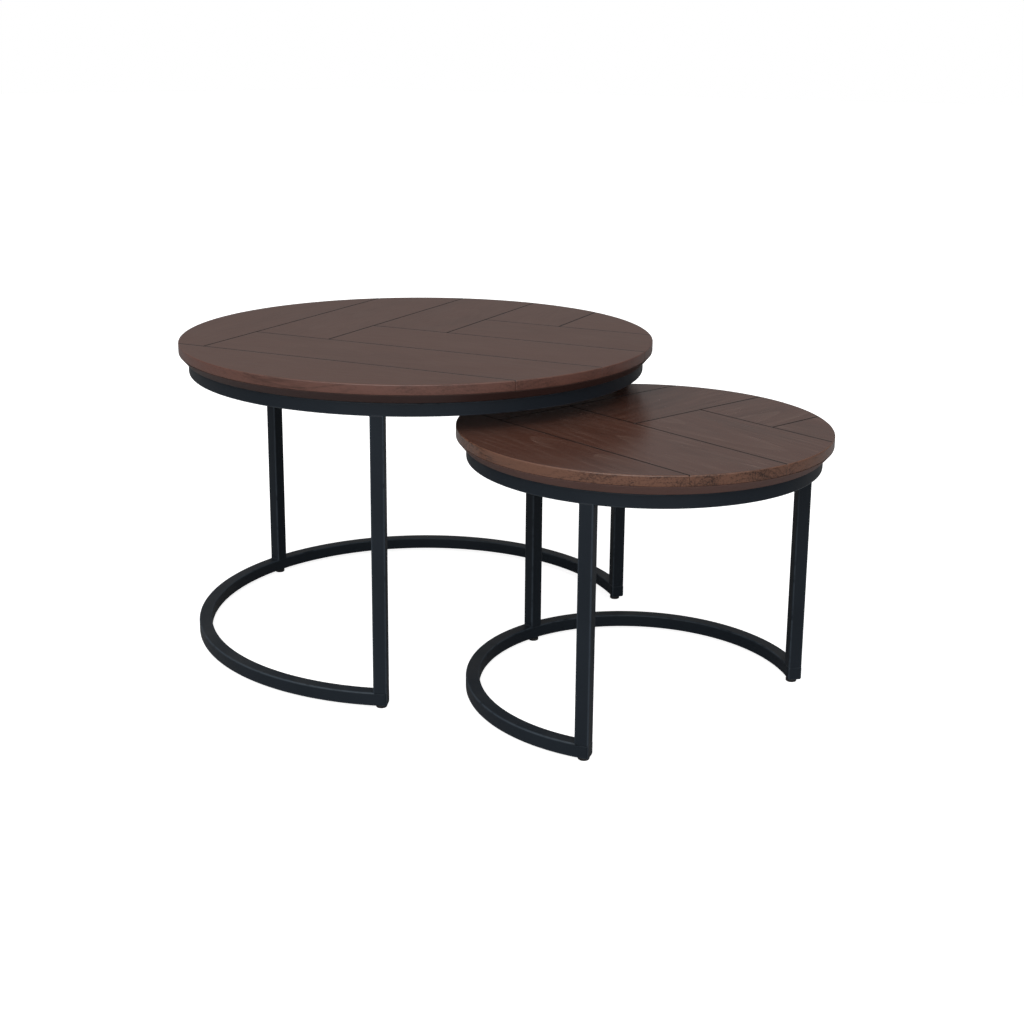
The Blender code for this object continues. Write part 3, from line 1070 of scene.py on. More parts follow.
@dataclass(frozen=True)
class HerringboneTop:
    """A round top of boards laid in herringbone, each board its own piece with its own timber."""

    places: Places
    finish: StainedTimber
    board_turn: float  # degrees from the table's own +X to the run of the long boards
    first_seam: float
    seam_count: int
    seed: int
    board_width: float = 0.128
    joint: float = 0.0003  # left open between boards
    arris: float = 0.0018  # how far the rim's arris is rounded in
    groove: float = 0.0009  # how far a seam's edge is chamfered in
    ease_depth: float = 0.0016
    fade: float = 0.0036
    round_steps: int = 5
    sanding: float = 0.00018  # how far the rim's hand sanding wanders in
    sanding_waves: tuple[tuple[int, float, float], ...] = ((7, 1.0, 0.4), (19, 0.7, 2.1), (43, 0.5, 4.0))
    face_shares: tuple[float, ...] = (0.72, 0.36, 0.0)  # where a face's rows lie from its middle

    @property
    def names(self) -> list[str]:
        """The boards' names, as in the CAD nodes."""
        long = [f"{Run.LONG.value}_{number}" for number in range(1, self.seam_count + 2)]
        cross = [f"{Run.CROSS.value}_{number}" for number in range(1, self.seam_count + 1)]
        return long + cross

    @property
    def radius(self) -> float:
        """The top's radius."""
        return self.places.width(*(f"board_{name}" for name in self.names)) / 2

    @property
    def run(self) -> np.ndarray:
        """The direction of the long boards."""
        return radial(self.places.turn + math.radians(self.board_turn))[:2]

    def plans(self) -> Iterator[tuple[str, Run, BoardPlan]]:
        """The name, run and plan of each board.

        At each seam of the pattern one long board and one cross board begin, and each runs on to the rim.

        Yields:
            The board's name, the way it lies, and its plan.
        """
        along, across = self.run, quarter_turn(self.run)
        seams = [self.first_seam + self.board_width * step for step in range(self.seam_count)]

        def cut(direction: np.ndarray, low: float | None, high: float | None) -> list[Seam]:
            """The seams that hold a strip between low and high along a direction."""
            kept = []
            if low is not None:
                kept.append((tuple(direction), low + self.joint / 2))
            if high is not None:
                kept.append((tuple(-direction), -(high - self.joint / 2)))
            return kept

        yield "long_1", Run.LONG, BoardPlan(self.radius, tuple(cut(across, None, seams[0])))
        first_cross = cut(along, None, seams[0]) + cut(across, seams[0], None)
        yield "cross_1", Run.CROSS, BoardPlan(self.radius, tuple(first_cross))
        for step, seam in enumerate(seams):
            ahead = seams[step + 1] if step + 1 < len(seams) else None
            strip = cut(along, seam, None) + cut(across, seam, ahead)
            yield f"long_{step + 2}", Run.LONG, BoardPlan(self.radius, tuple(strip))
            if ahead is not None:
                strip = cut(along, seam, ahead) + cut(across, ahead, None)
                yield f"cross_{step + 2}", Run.CROSS, BoardPlan(self.radius, tuple(strip))

    def profile(self, thick: float) -> dict[str, np.ndarray]:
        """The board's section at a side, from its underside up and over the arris to the face.

        The arris is a quarter of an ellipse: inset * (1 - cos a) in, and depth * (1 - sin a) down. A seam's
        edge is a straight chamfer of the same depth: inset * sin a in.

        Args:
            thick: The board's thickness.

        Returns:
            For each point its rim and seam insets and height, and its share of arris, groove and side.
        """
        turn = np.linspace(0, math.pi / 2, self.round_steps + 1)
        ones, zeros = np.ones_like(turn), np.zeros_like(turn)
        small = self.ease_depth / 3
        rounding, chamfer = self.arris * (1 - np.cos(turn)), self.groove * np.sin(turn)
        rise = thick - self.ease_depth * (1 - np.sin(turn))
        return {
            "rim": np.concatenate([[small, 0, 0], rounding, [self.arris + small, self.fade]]),
            "seam": np.concatenate([[0, 0, 0], chamfer, [self.groove + small, self.fade]]),
            "height": np.concatenate([[0, small, thick / 2], rise, [thick, thick]]),
            "arris": np.concatenate([[0, 0, 0], np.sin(2 * turn), [0, 0]]),
            "groove": np.concatenate([[1, 1, 1], ones, [0.3, 0]]),
            "side": np.concatenate([[1, 1, 1], np.where(turn < 1, ones, zeros), [0, 0]]),
        }

    def skin(self, plan: BoardPlan, run: Run, low: float, high: float, pick: np.random.Generator) -> Skin:
        """One board's surface: its outline carried over the profile, and each face drawn in to its middle.

        Args:
            plan: The board's plan.
            run: The way it lies.
            low: Height of its underside.
            high: Height of its face.
            pick: Where its own timber is drawn from.

        Returns:
            The closed surface with its marks.
        """
        profile = self.profile(high - low)
        outline, on_rim, on_seam = plan.loops(list(zip(profile["rim"], profile["seam"])))
        angle = np.arctan2(outline[..., 1], outline[..., 0])
        sanded = self.sanding * ripple(angle, self.sanding_waves)
        outline = outline * (1 - np.where(on_rim, sanded, 0) / self.radius)[..., None]
        middle = outline[-1].mean(axis=0)
        shares = np.array(self.face_shares)
        inner = middle + shares[:, None, None] * (outline[-1] - middle)
        under = middle + shares[::-1, None, None] * (outline[0] - middle)
        flat = np.concatenate([under, outline, inner])
        count = len(shares)
        heights = np.pad(profile["height"], count, mode="edge")
        level = np.broadcast_to((low + heights)[:, None, None], (*flat.shape[:2], 1))
        grid = np.concatenate([flat + self.places.axis[:2], level], axis=-1)

        def spread(name: str, below: float, columns: np.ndarray | None = None) -> np.ndarray:
            """A mark for each point, from the profile's shares and the columns that it applies to."""
            rows = np.pad(profile[name], count, constant_values=(below, 0))
            return rows[:, None] * (np.ones(flat.shape[1]) if columns is None else columns)[None]

        marks = {
            Mark.GRAIN: self.timber(flat, heights, run, pick),
            Mark.TONE: np.full(flat.shape[:2], pick.uniform(-0.06, 0.10)),
            Mark.ARRIS: spread("arris", 0, on_rim),
            Mark.GROOVE: spread("groove", 1, on_seam) * (1 - spread("side", 1, on_rim)),
            Mark.SIDE: spread("side", 1),
        }
        return Skin.of(grid, marks=marks)

    def timber(
        self, flat: np.ndarray, heights: np.ndarray, run: Run, pick: np.random.Generator
    ) -> np.ndarray:
        """Each point's place in its board's own timber, with the pith below the face and a little aslant.

        Args:
            flat: Points of the grid from above, about the table's axis.
            heights: Each row's height in the board.
            run: The way the board lies.
            pick: Where the board's own values are drawn from.

        Returns:
            The place along, across and through the grain, from the pith.
        """
        along = self.run if run is Run.LONG else quarter_turn(self.run)
        length = flat @ along
        width = flat @ quarter_turn(along)
        slant, skew = pick.uniform(0.03, 0.07) * pick.choice((-1, 1)), pick.uniform(-0.03, 0.03)
        pith_depth, pith_side = pick.uniform(0.05, 0.10), pick.uniform(-0.035, 0.035)
        across = width - width.mean() + pith_side + skew * length
        through = heights[:, None] + pith_depth + slant * length
        return np.stack([length + pick.uniform(0, 40), across, through], axis=-1)

    def build(self) -> None:
        """Makes every board."""
        pick = np.random.default_rng(self.seed)
        for name, run, plan in self.plans():
            low, high = self.places.heights(f"board_{name}")
            skin = self.skin(plan, run, low, high, pick)
            self.places.put(f"top_{name}", skin, self.finish, Slot.BOARDS, f"board_{name}")


@dataclass(frozen=True)
class BasePanel:
    """The panel under the boards: a disc whose lower edge is bevelled right round."""

    places: Places
    finish: StainedTimber
    bevel: float = 0.010
    ease: float = 0.0006
    segments: int = 240
    pith: Colour = (7.0, 0.02, 0.3)  # from the panel's own pith line to the foot of the axis

    def profile(self, radius: float, low: float, high: float) -> np.ndarray:
        """The panel's section from the middle of its underside out and back: (radius, height) pairs.

        The bevel is straight, and each of its two arrises is a short curve through three points.

        Args:
            radius: The panel's radius.
            low: Height of its underside.
            high: Height of its upper side.

        Returns:
            The pairs.
        """
        inner = radius - self.bevel
        slope = np.array([self.bevel, high - low]) / math.hypot(self.bevel, high - low)
        foot, head = np.array([inner, low]), np.array([radius, high])
        rows = [
            (0.0, low),
            (inner * 0.5, low),
            (inner - 3 * self.ease, low),
            (inner - self.ease, low),
            tuple(foot + slope * self.ease * 0.25 + (-self.ease * 0.1, 0)),
            tuple(foot + slope * self.ease),
            tuple(foot + slope * self.ease * 3),
            tuple(head - slope * self.ease * 3),
            tuple(head - slope * self.ease),
            (radius - self.ease * 0.15, high - self.ease * 0.35),
            (radius - self.ease * 0.8, high),
            (inner, high),
            (0.0, high),
        ]
        return np.array(rows)

    def build(self) -> None:
        """Makes the panel."""
        low, high = self.places.heights("base_panel")
        profile = self.profile(self.places.width("base_panel") / 2, low, high)
        grid = turned(profile, self.places.axis, self.segments)
        sloping = np.zeros(len(profile))
        sloping[4:10] = 1.0
        edge = np.zeros(len(profile))
        edge[[4, 9]] = 1.0
        columns = np.ones(self.segments)
        marks = {
            Mark.GRAIN: grid - self.places.axis + self.pith,
            Mark.TONE: np.zeros(grid.shape[:2]),
            Mark.ARRIS: edge[:, None] * columns,
            Mark.GROOVE: np.zeros(grid.shape[:2]),
            Mark.SIDE: sloping[:, None] * columns,
        }
        skin = Skin.of(grid, marks=marks)
        self.places.put("under_panel", skin, self.finish, Slot.PANEL, "base_panel")


# ---------------------------------------------------------------------------------------------------------
# The frame
# ---------------------------------------------------------------------------------------------------------


@dataclass(frozen=True)
class SteelFrame:
    """The welded frame: a ring, three legs and an open floor arc of one square tube."""

    places: Places
    finish: PowderCoat = BLACK_COAT
    corner: float = 0.0024
    corner_steps: int = 5
    ring_segments: int = 200
    joint: float = 0.0003  # between a leg's end and the tube that it meets
    sink: float = 0.0027  # how far a leg's ground end runs on into that tube
    flush: float = 0.0002  # and how far its face is ground in there
    ground_half: float = 0.0004  # half the length over which a leg's end is ground down
    fillet: float = 0.0024
    fillet_root: float = 0.0004  # how far a weld bead's root is sunk in the metal
    fillet_steps: int = 6
    fillet_rows: int = 15
    cap_thickness: float = 0.0012
    cap_round: float = 0.0020
    cap_root: float = 0.0006  # how far a cap runs on into the arc's end

    @property
    def section(self) -> tuple[np.ndarray, np.ndarray]:
        """The tube's outline, and its share of arris."""
        return rounded_square(self.places.tube, self.corner, self.corner_steps)

    def put(self, name: str, skin: Skin, *stands_for: str) -> None:
        """Makes a piece of the frame."""
        self.places.put(f"frame_{name}", skin, self.finish, Slot.FRAME, *stands_for)

    def build_ring(self) -> None:
        """Makes the ring: the section carried round a circle."""
        section, arris = self.section
        outward = radial(np.arange(self.ring_segments) * TAU / self.ring_segments)
        level = UP * np.mean(self.places.heights("ring"))
        middles = self.places.axis + outward * self.places.tube_radius + level
        grid = swept(section, middles, -outward, np.broadcast_to(UP, outward.shape))
        marks = {Mark.ARRIS: np.broadcast_to(arris, grid.shape[:2])}
        self.put("ring", Skin.of(grid, closed_rows=True, marks=marks), "ring")

    def build_leg(self, leg: Leg) -> None:
        """Makes a leg, whose ends run on into the tubes above and below and are ground flush there.

        Args:
            leg: Which leg.
        """
        name = f"leg_{leg.value}"
        low, high = self.places.heights(name)
        section, arris = self.section
        outward = radial(self.places.angle(name))
        sideways = quarter_turn(outward)
        near, far = self.ground_half, self.sink
        heights = np.array([low - far, low - near, low + near, high - near, high + near, high + far])
        ground = np.array([self.flush, self.flush / 4, 0, 0, self.flush / 4, self.flush])
        sections = section[None] * (1 - 2 * ground / self.places.tube)[:, None, None]
        middles = self.places.middle(name) * (1, 1, 0) + heights[:, None] * UP
        rows = len(heights)
        grid = capped(swept(sections, middles, np.tile(outward, (rows, 1)), np.tile(sideways, (rows, 1))))
        self.put(name, Skin.of(grid, marks={Mark.ARRIS: np.broadcast_to(arris, grid.shape[:2])}), name)

    def fillet_grid(
        self, root: np.ndarray, run: np.ndarray, out: np.ndarray, up: np.ndarray, phase: float
    ) -> np.ndarray:
        """A ground weld bead: a hollow quarter round carried along a leg's side, with an uneven size.

        Its section is the hollow arc from (size, 0) to (0, -size) about (size, -size), closed by a root
        that is sunk in the metal.

        Args:
            root: Middle of the line where the two tubes meet.
            run: Direction of that line.
            out: Direction away from the leg's side.
            up: Direction to the other tube.
            phase: What makes this bead's unevenness its own.

        Returns:
            The grid, closed at its two ends.
        """
        share = np.linspace(-1, 1, self.fillet_rows)
        uneven = 1 + 0.10 * np.sin(5 * share + phase) + 0.06 * np.sin(13 * share + 2 * phase)
        size = self.fillet * (1 - share**8 * 0.75) * uneven
        angle = np.linspace(0, math.pi / 2, self.fillet_steps + 1)
        hollow = np.stack([1 - np.sin(angle), np.cos(angle) - 1], axis=-1)
        sunk = np.full((len(share), 1, 2), -self.fillet_root) * (1, -1)
        sections = np.concatenate([size[:, None, None] * hollow[None], sunk], axis=1)
        length = self.places.tube / 2 - self.corner * 0.7
        middles = root + share[:, None] * length * run
        return capped(swept(sections, middles, np.tile(out, (len(share), 1)), np.tile(up, (len(share), 1))))

    def build_welds(self, leg: Leg) -> None:
        """Makes the welds of a leg: two under the ring, and one on each side where the arc runs on.

        Args:
            leg: Which leg.
        """
        name = f"leg_{leg.value}"
        low, high = self.places.heights(name)
        outward = radial(self.places.angle(name))
        sideways = quarter_turn(outward)
        foot = self.places.middle(name) * (1, 1, 0)
        arc_sides = {Leg.BACK: (1, -1), Leg.LEFT: (1,), Leg.RIGHT: (-1,)}[leg]
        spots = [(side, high, 1.0) for side in (1, -1)] + [(side, low, -1.0) for side in arc_sides]
        skin = Skin()
        for number, (side, height, way) in enumerate(spots):
            root = foot + sideways * side * self.places.tube / 2 + UP * (height + way * self.joint)
            phase = 1.7 * number + self.places.angle(name)
            grid = self.fillet_grid(root, outward, sideways * side, UP * way, phase)
            skin.add(grid, marks={Mark.ARRIS: np.zeros(grid.shape[:2])})
        self.put(f"welds_{leg.value}", skin)

    def build_arc(self) -> None:
        """Makes the floor arc: a straight stub under each end leg, and a circle between them."""
        section, arris = self.section
        radius = self.places.tube_radius
        first = self.places.angle(f"leg_{Leg.LEFT.value}")
        last = self.places.angle(f"leg_{Leg.RIGHT.value}") + TAU
        bend = math.asin(self.places.tube / 2 / radius)
        stub = self.places.tube / 2 - self.cap_thickness
        steps = round(self.ring_segments * (last - first) / TAU)
        bent = np.linspace(first + bend, last - bend, steps + 1)
        angles = np.concatenate([[first, first], bent, [last, last]])
        slide = np.concatenate([[-stub, 0], np.zeros(steps + 1), [0, stub]])
        outward = radial(angles)
        tangent = np.stack([-outward[:, 1], outward[:, 0], outward[:, 2]], axis=-1)
        level = UP * np.mean(self.places.heights("floor_arc"))
        middles = self.places.axis + outward * radius + tangent * slide[:, None] + level
        grid = capped(swept(section, middles, -outward, np.broadcast_to(UP, outward.shape)))
        marks = {Mark.ARRIS: np.broadcast_to(arris, grid.shape[:2])}
        self.put("floor_arc", Skin.of(grid, marks=marks), "floor_arc")

    def build_cap(self, leg: Leg) -> None:
        """Makes the plate welded on an end of the floor arc, its outer arris ground round.

        The outline shrinks by round * (1 - cos a) as the plate rises by its thickness * sin a.

        Args:
            leg: The leg that stands on this end.
        """
        section, _ = self.section
        outward = radial(self.places.angle(f"leg_{leg.value}"))
        way = -1 if leg is Leg.LEFT else 1
        ending = quarter_turn(outward) * way
        turn = np.linspace(0, math.pi / 2, 7)
        rise = np.concatenate([[-self.cap_root], self.cap_thickness * np.sin(turn)])
        shrink = np.concatenate([[0.0], self.cap_round * (1 - np.cos(turn))])
        half = self.places.tube / 2
        sections = section[None] * (1 - shrink / half)[:, None, None]
        level = UP * np.mean(self.places.heights("floor_arc"))
        middle = self.places.middle(f"leg_{leg.value}") * (1, 1, 0) + level
        middles = middle + (half - self.cap_thickness + rise)[:, None] * ending
        rows = len(rise)
        grid = capped(swept(sections, middles, np.tile(-outward, (rows, 1)), np.tile(UP, (rows, 1))))
        edge = np.concatenate([[0.0, 0.0], np.sin(2 * turn), [0.0]])
        marks = {Mark.ARRIS: edge[:, None] * np.ones(len(section))}
        self.put(f"end_cap_{leg.value}", Skin.of(grid, marks=marks), f"arc_cap_{leg.value}")

    def build(self) -> None:
        """Makes the whole frame."""
        self.build_ring()
        self.build_arc()
        for leg in Leg:
            self.build_leg(leg)
            self.build_welds(leg)
        for leg in (Leg.LEFT, Leg.RIGHT):
            self.build_cap(leg)


@dataclass(frozen=True)
class Glides:
    """Nylon feet pushed into the floor arc: a domed button with a shoulder and a plain stem."""

    places: Places
    finish: Nylon = BLACK_NYLON
    radius: float = 0.0075
    height: float = 0.005
    toe: float = 0.0014  # radius of the round at the foot
    hollow: float = 0.00012  # how far the middle of the foot stands proud of the start of its round
    shoulder: float = 0.0006  # width of the bevel under the tube
    clearance: float = 0.0003  # to the tube
    stem: float = 0.0030
    stem_bevel: float = 0.0006
    segments: int = 48

    def profile(self, top: float) -> np.ndarray:
        """The glide's section from the middle of its foot out, up and in to the top of its stem.

        The toe is a quarter round: out by toe * sin a, and up by nearly toe * (1 - cos a).

        Args:
            top: Height of the stem's top above the foot.

        Returns:
            Pairs of (radius, height above the foot).
        """
        turn = np.linspace(0, math.pi / 2, 7)[1:]
        foot = self.radius - self.toe
        rise = self.toe - (self.toe - 0.0001) * np.cos(turn)
        toe = np.stack([foot + self.toe * np.sin(turn), rise], axis=-1)
        seat = self.height - self.clearance
        return np.concatenate(
            [
                [(0.0, 0.0), (foot * 0.6, 0.0), (foot, self.hollow)],
                toe,
                [(self.radius, seat - 0.0008), (self.radius - self.shoulder / 3, seat - 0.0004)],
                [(self.radius - self.shoulder, seat), (self.stem, seat)],
                [(self.stem, top - self.stem_bevel), (self.stem - self.stem_bevel, top), (0.0, top)],
            ]
        )

    def build(self) -> None:
        """Makes the three glides."""
        for leg in Leg:
            name = f"glide_{leg.value}"
            low, high = self.places.heights(name)
            profile = self.profile(high - low)
            foot = self.places.middle(name) * (1, 1, 0) + UP * low
            grid = turned(profile, foot, self.segments)
            arris = np.zeros(len(profile))
            arris[3:8] = 1.0
            skin = Skin.of(grid, marks={Mark.ARRIS: arris[:, None] * np.ones(self.segments)})
            self.places.put(f"foot_{name}", skin, self.finish, Slot.NYLON, name)


@dataclass(frozen=True)
class Fixings:
    """The tabs inside the ring, each with a screw up into the panel."""

    places: Places
    plate_finish: PowderCoat = BLACK_COAT
    screw_finish: Zinc = ZINC
    length: float = 0.024
    width: float = 0.026
    corner: float = 0.006
    ease: float = 0.0004
    hole: float = 0.0025
    hole_from_ring: float = 0.014
    weld_gap: float = 0.0002
    head: float = 0.0042
    head_height: float = 0.0028
    shank: float = 0.0019
    pitch: float = 0.0014
    tip: float = 0.0025
    recess: float = 0.0015  # depth of the cross recess
    recess_arm: float = 0.00075  # half the width of an arm
    recess_reach: float = 0.0022  # from the middle to the end of an arm
    recess_core: float = 0.00095  # radius of the recess's middle
    recess_wall: float = 0.0003  # how far the recess takes to reach its depth
    core_share: float = 0.72  # of the shank's radius, below the thread
    columns: int = 96

    def outline(self, inset: float) -> np.ndarray:
        """The tab's outline about its screw hole, at even angles: ring side square, inner side rounded.

        Each point lies where the ray at its angle leaves the plate: the nearest of the four sides, or the
        corner circle where the ray meets that first.

        Args:
            inset: How far the outline is drawn in.

        Returns:
            Points (x inwards, y sideways), shape (columns, 2).
        """
        angle = np.arange(self.columns) * TAU / self.columns
        ray = np.stack([np.cos(angle), np.sin(angle)], axis=-1)
        inner, outer = self.length - self.hole_from_ring - inset, -(self.hole_from_ring - self.weld_gap)
        half = self.width / 2 - inset
        with np.errstate(divide="ignore"):
            to_ends = np.where(ray[:, 0] > 0, inner / ray[:, 0], outer / ray[:, 0])
            to_sides = half / np.abs(ray[:, 1])
        reach = np.minimum(np.abs(to_ends), to_sides)
        radius = self.corner - inset
        beside = np.sign(ray[:, 1]) * (half - radius)
        centre = np.stack([np.full_like(angle, inner - radius), beside], axis=-1)
        ahead = (ray * centre).sum(axis=-1)
        inside = ahead**2 - (centre**2).sum(axis=-1) + radius**2
        to_corner = ahead + np.sqrt(np.maximum(inside, 0))
        spot = ray * reach[:, None]
        cornered = (spot[:, 0] > centre[:, 0]) & (np.abs(spot[:, 1]) > np.abs(centre[:, 1]))
        return ray * np.where(cornered, to_corner, reach)[:, None]

    def build_tab(self, fixing: Fixing) -> None:
        """Makes a tab: its section goes round, from the hole out below and back in above.

        Args:
            fixing: Which tab.
        """
        name = f"tab_{fixing.value}"
        low, high = self.places.heights(name)
        angle = self.places.angle(f"screw_{fixing.value}")
        inward = -radial(angle)
        sideways = np.cross(UP, inward)
        spokes = radial(np.arange(self.columns) * TAU / self.columns)[:, :2]
        ease = self.ease
        rings = [
            (spokes * (self.hole + ease), low),
            (self.outline(ease * 2), low),
            (self.outline(ease), low),
            (self.outline(ease * 0.3), low + ease * 0.3),
            (self.outline(0.0), low + ease),
            (self.outline(0.0), high - ease),
            (self.outline(ease * 0.3), high - ease * 0.3),
            (self.outline(ease), high),
            (spokes * (self.hole + ease), high),
            (spokes * self.hole, high - ease),
            (spokes * self.hole, low + ease),
        ]
        middle = self.places.middle(f"screw_{fixing.value}") * (1, 1, 0)
        rows = [
            middle + flat[:, :1] * inward + flat[:, 1:] * sideways + height * UP for flat, height in rings
        ]
        arris = np.zeros(len(rings))
        arris[[3, 6]] = 1.0
        marks = {Mark.ARRIS: arris[:, None] * np.ones(self.columns)}
        skin = Skin.of(np.stack(rows), closed_rows=True, marks=marks)
        self.places.put(f"fixing_{name}", skin, self.plate_finish, Slot.FRAME, name)

    def build_screw(self, fixing: Fixing) -> None:
        """Makes a pan-head screw with a cross recess and a rolled thread.

        The head's height at (r, a) is its dome less a recess that fades with the distance from two crossed
        lines. The shank's radius at (a, z) follows a helix: core + thread * a triangle wave of z / pitch - a.

        Args:
            fixing: Which screw.
        """
        name = f"screw_{fixing.value}"
        low, high = self.places.heights(name)
        seat = low + self.head_height
        angle = np.arange(self.columns) * TAU / self.columns
        share = np.concatenate([np.linspace(0, 0.62, 15), [0.7, 0.8, 0.88, 0.94, 0.98, 1.0]])[:, None]
        dome = self.head_height * (1 - 0.42 * share**2 - 0.40 * share**12)
        x, y = share * self.head * np.cos(angle), share * self.head * np.sin(angle)
        to_line = np.minimum(np.abs(x), np.abs(y))
        reach = np.hypot(x, y)
        arm = np.clip((self.recess_arm - to_line) / 0.00025, 0, 1)
        arm = arm * np.clip((self.recess_reach - reach) / self.recess_wall, 0, 1)
        core = np.clip((self.recess_core - reach) / self.recess_wall, 0, 1)
        recess = self.recess * np.maximum(arm, core)
        head_rows = np.stack([x, y, seat - (dome - recess)], axis=-1)
        heights = np.linspace(seat, high, 73)[:, None]
        wave = 2 * np.abs(((heights - seat) / self.pitch - angle / TAU) % 1 - 0.5)
        taper = np.clip((high - heights) / self.tip, 0.06, 1)
        radius = self.shank * (self.core_share + (1 - self.core_share) * wave) * taper
        rim = self.head * np.ones((1, self.columns))
        edge, shank_rows = (
            np.stack(np.broadcast_arrays(far * np.cos(angle), far * np.sin(angle), level), axis=-1)
            for far, level in ((rim, seat), (radius, heights))
        )
        tip = np.broadcast_to([0.0, 0.0, high], (1, self.columns, 3))
        middle = self.places.middle(name) * (1, 1, 0)
        skin = Skin.of(middle + np.concatenate([head_rows, edge, shank_rows, tip]))
        self.places.put(f"fixing_{name}", skin, self.screw_finish, Slot.SCREWS, name)

    def build(self) -> None:
        """Makes the three tabs and their screws."""
        for fixing in Fixing:
            self.build_tab(fixing)
            self.build_screw(fixing)


@dataclass(frozen=True)
class NestingTable:
    """One table: its top, panel, frame, feet and fixings."""

    which: Which
    boards: StainedTimber
    panel: StainedTimber
    board_turn: float
    first_seam: float
    seam_count: int
    seed: int

    def build(self) -> None:
        """Makes all the table's pieces."""
        places = Places(self.which)
        assemblies = (
            HerringboneTop(places, self.boards, self.board_turn, self.first_seam, self.seam_count, self.seed),
            BasePanel(places, self.panel),
            SteelFrame(places),
            Glides(places),
            Fixings(places),
        )
        for assembly in assemblies:
            LOG.info("%s: %s", self.which.value, type(assembly).__name__)
            assembly.build()


LARGE_TABLE = NestingTable(
    which=Which.LARGE,
    boards=LARGE_BOARDS,
    panel=LARGE_PANEL_SHADED_BEVEL,
    board_turn=14,
    first_seam=-0.224,
    seam_count=4,
    seed=11,
)
SMALL_TABLE = NestingTable(
    which=Which.SMALL,
    boards=SMALL_BOARDS,
    panel=SMALL_PANEL,
    board_turn=2,
    first_seam=-0.136,
    seam_count=3,
    seed=5,
)


# ---------------------------------------------------------------------------------------------------------
# The studio
# ---------------------------------------------------------------------------------------------------------


@dataclass(frozen=True)
class Softbox:
    """A large square light that looks at a point."""

    name: str
    place: Colour
    aim: Colour
    side: float
    power: float

    def build(self) -> None:
        """Makes the light."""
        light = bpy.data.lights.new(self.name, "AREA")
        light.size = self.side
        light.energy = self.power
        holder = bpy.data.objects.new(self.name, light)
        bpy.context.scene.collection.objects.link(holder)
        holder.location = self.place
        holder.rotation_euler = (Vector(self.aim) - Vector(self.place)).to_track_quat("-Z", "Y").to_euler()


@dataclass(frozen=True)
class Glow:
    """A soft bright patch on the light tent, about one direction."""

    heading: float  # degrees from +X
    height: float  # degrees above the floor
    start: float  # the cosine from its middle at which it begins
    full: float  # and the cosine from which it has its full strength
    strength: float

    def strength_towards(self, nodes: Nodes, direction: Socket) -> Socket:
        """How bright the patch is in a direction.

        Args:
            nodes: The world's tree.
            direction: The unit direction.

        Returns:
            The strength that it adds there.
        """
        height = math.radians(self.height)
        middle = radial(math.radians(self.heading)) * math.cos(height) + UP * math.sin(height)
        towards = nodes.add("VectorMath", {0: direction, 1: tuple(middle)}, operation="DOT_PRODUCT")
        return nodes.ramp(towards.outputs["Value"], self.start, self.full, 0.0, self.strength)


@dataclass(frozen=True)
class Camera:
    """The camera: a place, a direction and a lens, with a small vertical shift."""

    place: Colour = (1.3116, -1.5619, 0.8476)
    heading: float = 129.41  # degrees from +X
    pitch: float = -13.08
    roll: float = 0.49
    lens: float = 51.11
    shift: float = -0.1097

    def build(self) -> None:
        """Makes the camera and gives it to the scene."""
        data = bpy.data.cameras.new("camera")
        data.lens = self.lens
        data.shift_y = self.shift
        holder = bpy.data.objects.new("camera", data)
        bpy.context.scene.collection.objects.link(holder)
        heading, pitch, roll = (math.radians(value) for value in (self.heading, self.pitch, self.roll))
        forward = radial(heading) * math.cos(pitch) + UP * math.sin(pitch)
        level = -quarter_turn(radial(heading))
        upright = np.cross(level, forward)
        right = level * math.cos(roll) + upright * math.sin(roll)
        above = np.cross(right, forward)
        columns = np.column_stack([right, above, -forward])
        matrix = Matrix([[*row] for row in columns]).to_4x4()
        matrix.translation = self.place
        holder.matrix_world = matrix
        bpy.context.scene.camera = holder


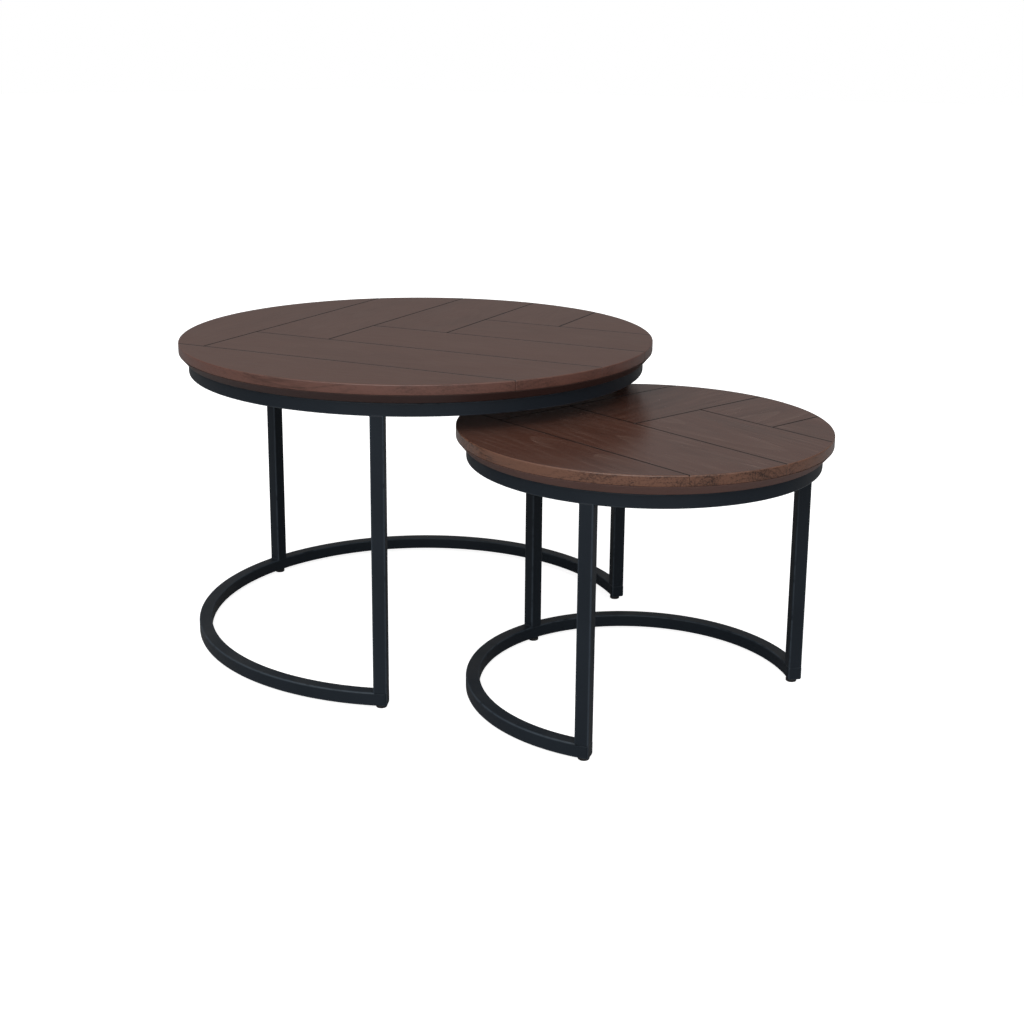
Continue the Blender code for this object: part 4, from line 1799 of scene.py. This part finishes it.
@dataclass(frozen=True)
class Studio:
    """A pale floor under soft light from above, with a light tent that looks white to the camera.

    To the camera the floor is pale and glows a little, which keeps its shadows light. To the tables it is
    a mid grey, so that their lower faces stay dark.
    """

    floor_side: float = 60.0
    floor_seen: float = 0.75
    floor_glow: float = 0.86
    floor_bounce: float = 0.36
    horizon: float = 0.06
    zenith: float = 0.35
    dusk: float = 0.15  # the height, as a sine, at which the tent begins to brighten
    glows: tuple[Glow, ...] = (
        Glow(heading=129.4, height=0.0, start=0.35, full=0.85, strength=0.15),
        Glow(heading=-60.0, height=32.0, start=0.20, full=0.90, strength=1.05),
    )

    def build_floor(self) -> None:
        """Makes the floor, which isn't part of the tables."""
        half = self.floor_side / 2
        corners = [(-half, -half, 0), (half, -half, 0), (half, half, 0), (-half, half, 0)]
        mesh = bpy.data.meshes.new("floor")
        mesh.from_pydata(corners, [], [(0, 1, 2, 3)])
        material = bpy.data.materials.new("pale_floor")
        material.use_nodes = True
        nodes = Nodes(material.node_tree)
        shader = material.node_tree.nodes["Principled BSDF"]
        seen = nodes.add("LightPath").outputs["Is Camera Ray"]
        colour = nodes.blend(seen, (self.floor_bounce,) * 3, (self.floor_seen,) * 3)
        material.node_tree.links.new(colour, shader.inputs["Base Color"])
        glow = nodes.times(seen, self.floor_glow)
        material.node_tree.links.new(glow, shader.inputs["Emission Strength"])
        shader.inputs["Emission Color"].default_value = (1.0, 1.0, 1.0, 1.0)
        shader.inputs["Roughness"].default_value = 0.9
        shader.inputs["Specular IOR Level"].default_value = 0.0
        mesh.materials.append(material)
        floor = bpy.data.objects.new("floor", mesh)
        bpy.context.scene.collection.objects.link(floor)
        floor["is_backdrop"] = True

    def build_world(self) -> None:
        """Makes the light tent: it brightens towards the zenith, and is plain white to the camera."""
        world = bpy.data.worlds.new("light_tent")
        world.use_nodes = True
        nodes = Nodes(world.node_tree)
        direction = nodes.add("TexCoord").outputs["Generated"]
        height = nodes.add("SeparateXYZ", {0: direction}).outputs["Z"]
        strength = nodes.ramp(height, self.dusk, 1.0, self.horizon, self.zenith)
        for glow in self.glows:
            strength = nodes.plus(strength, glow.strength_towards(nodes, direction))
        seen = nodes.add("LightPath").outputs["Is Camera Ray"]
        shown = nodes.add("Mix", {"Factor": seen, "A": strength, "B": 1.0}, data_type="FLOAT")
        background = world.node_tree.nodes["Background"]
        background.inputs["Color"].default_value = (1.0, 1.0, 1.0, 1.0)
        world.node_tree.links.new(shown.outputs["Result"], background.inputs["Strength"])
        bpy.context.scene.world = world

    def build(self) -> None:
        """Makes the floor, the lights and the camera."""
        bpy.context.scene.view_settings.view_transform = "Standard"
        self.build_floor()
        self.build_world()
        Softbox("key", (1.12, -2.11, 1.85), (0.0, 0.0, 0.3), 1.8, 22.0).build()
        Camera().build()


def write_sizes() -> None:
    """Gathers the CAD model's box and the visual model's box as plain lists, and keeps them nowhere."""
    boxes = {"cad": cad_box, "visual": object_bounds()}
    {name: [list(corner) for corner in corners] for name, corners in boxes.items()}


def main() -> None:
    """Builds the two tables and the studio, then measures their boxes."""
    logging.basicConfig(level=logging.INFO, format="%(message)s")
    for table in (LARGE_TABLE, SMALL_TABLE):
        table.build()
    Studio().build()
    write_sizes()


if __name__ == "__main__":
    main()
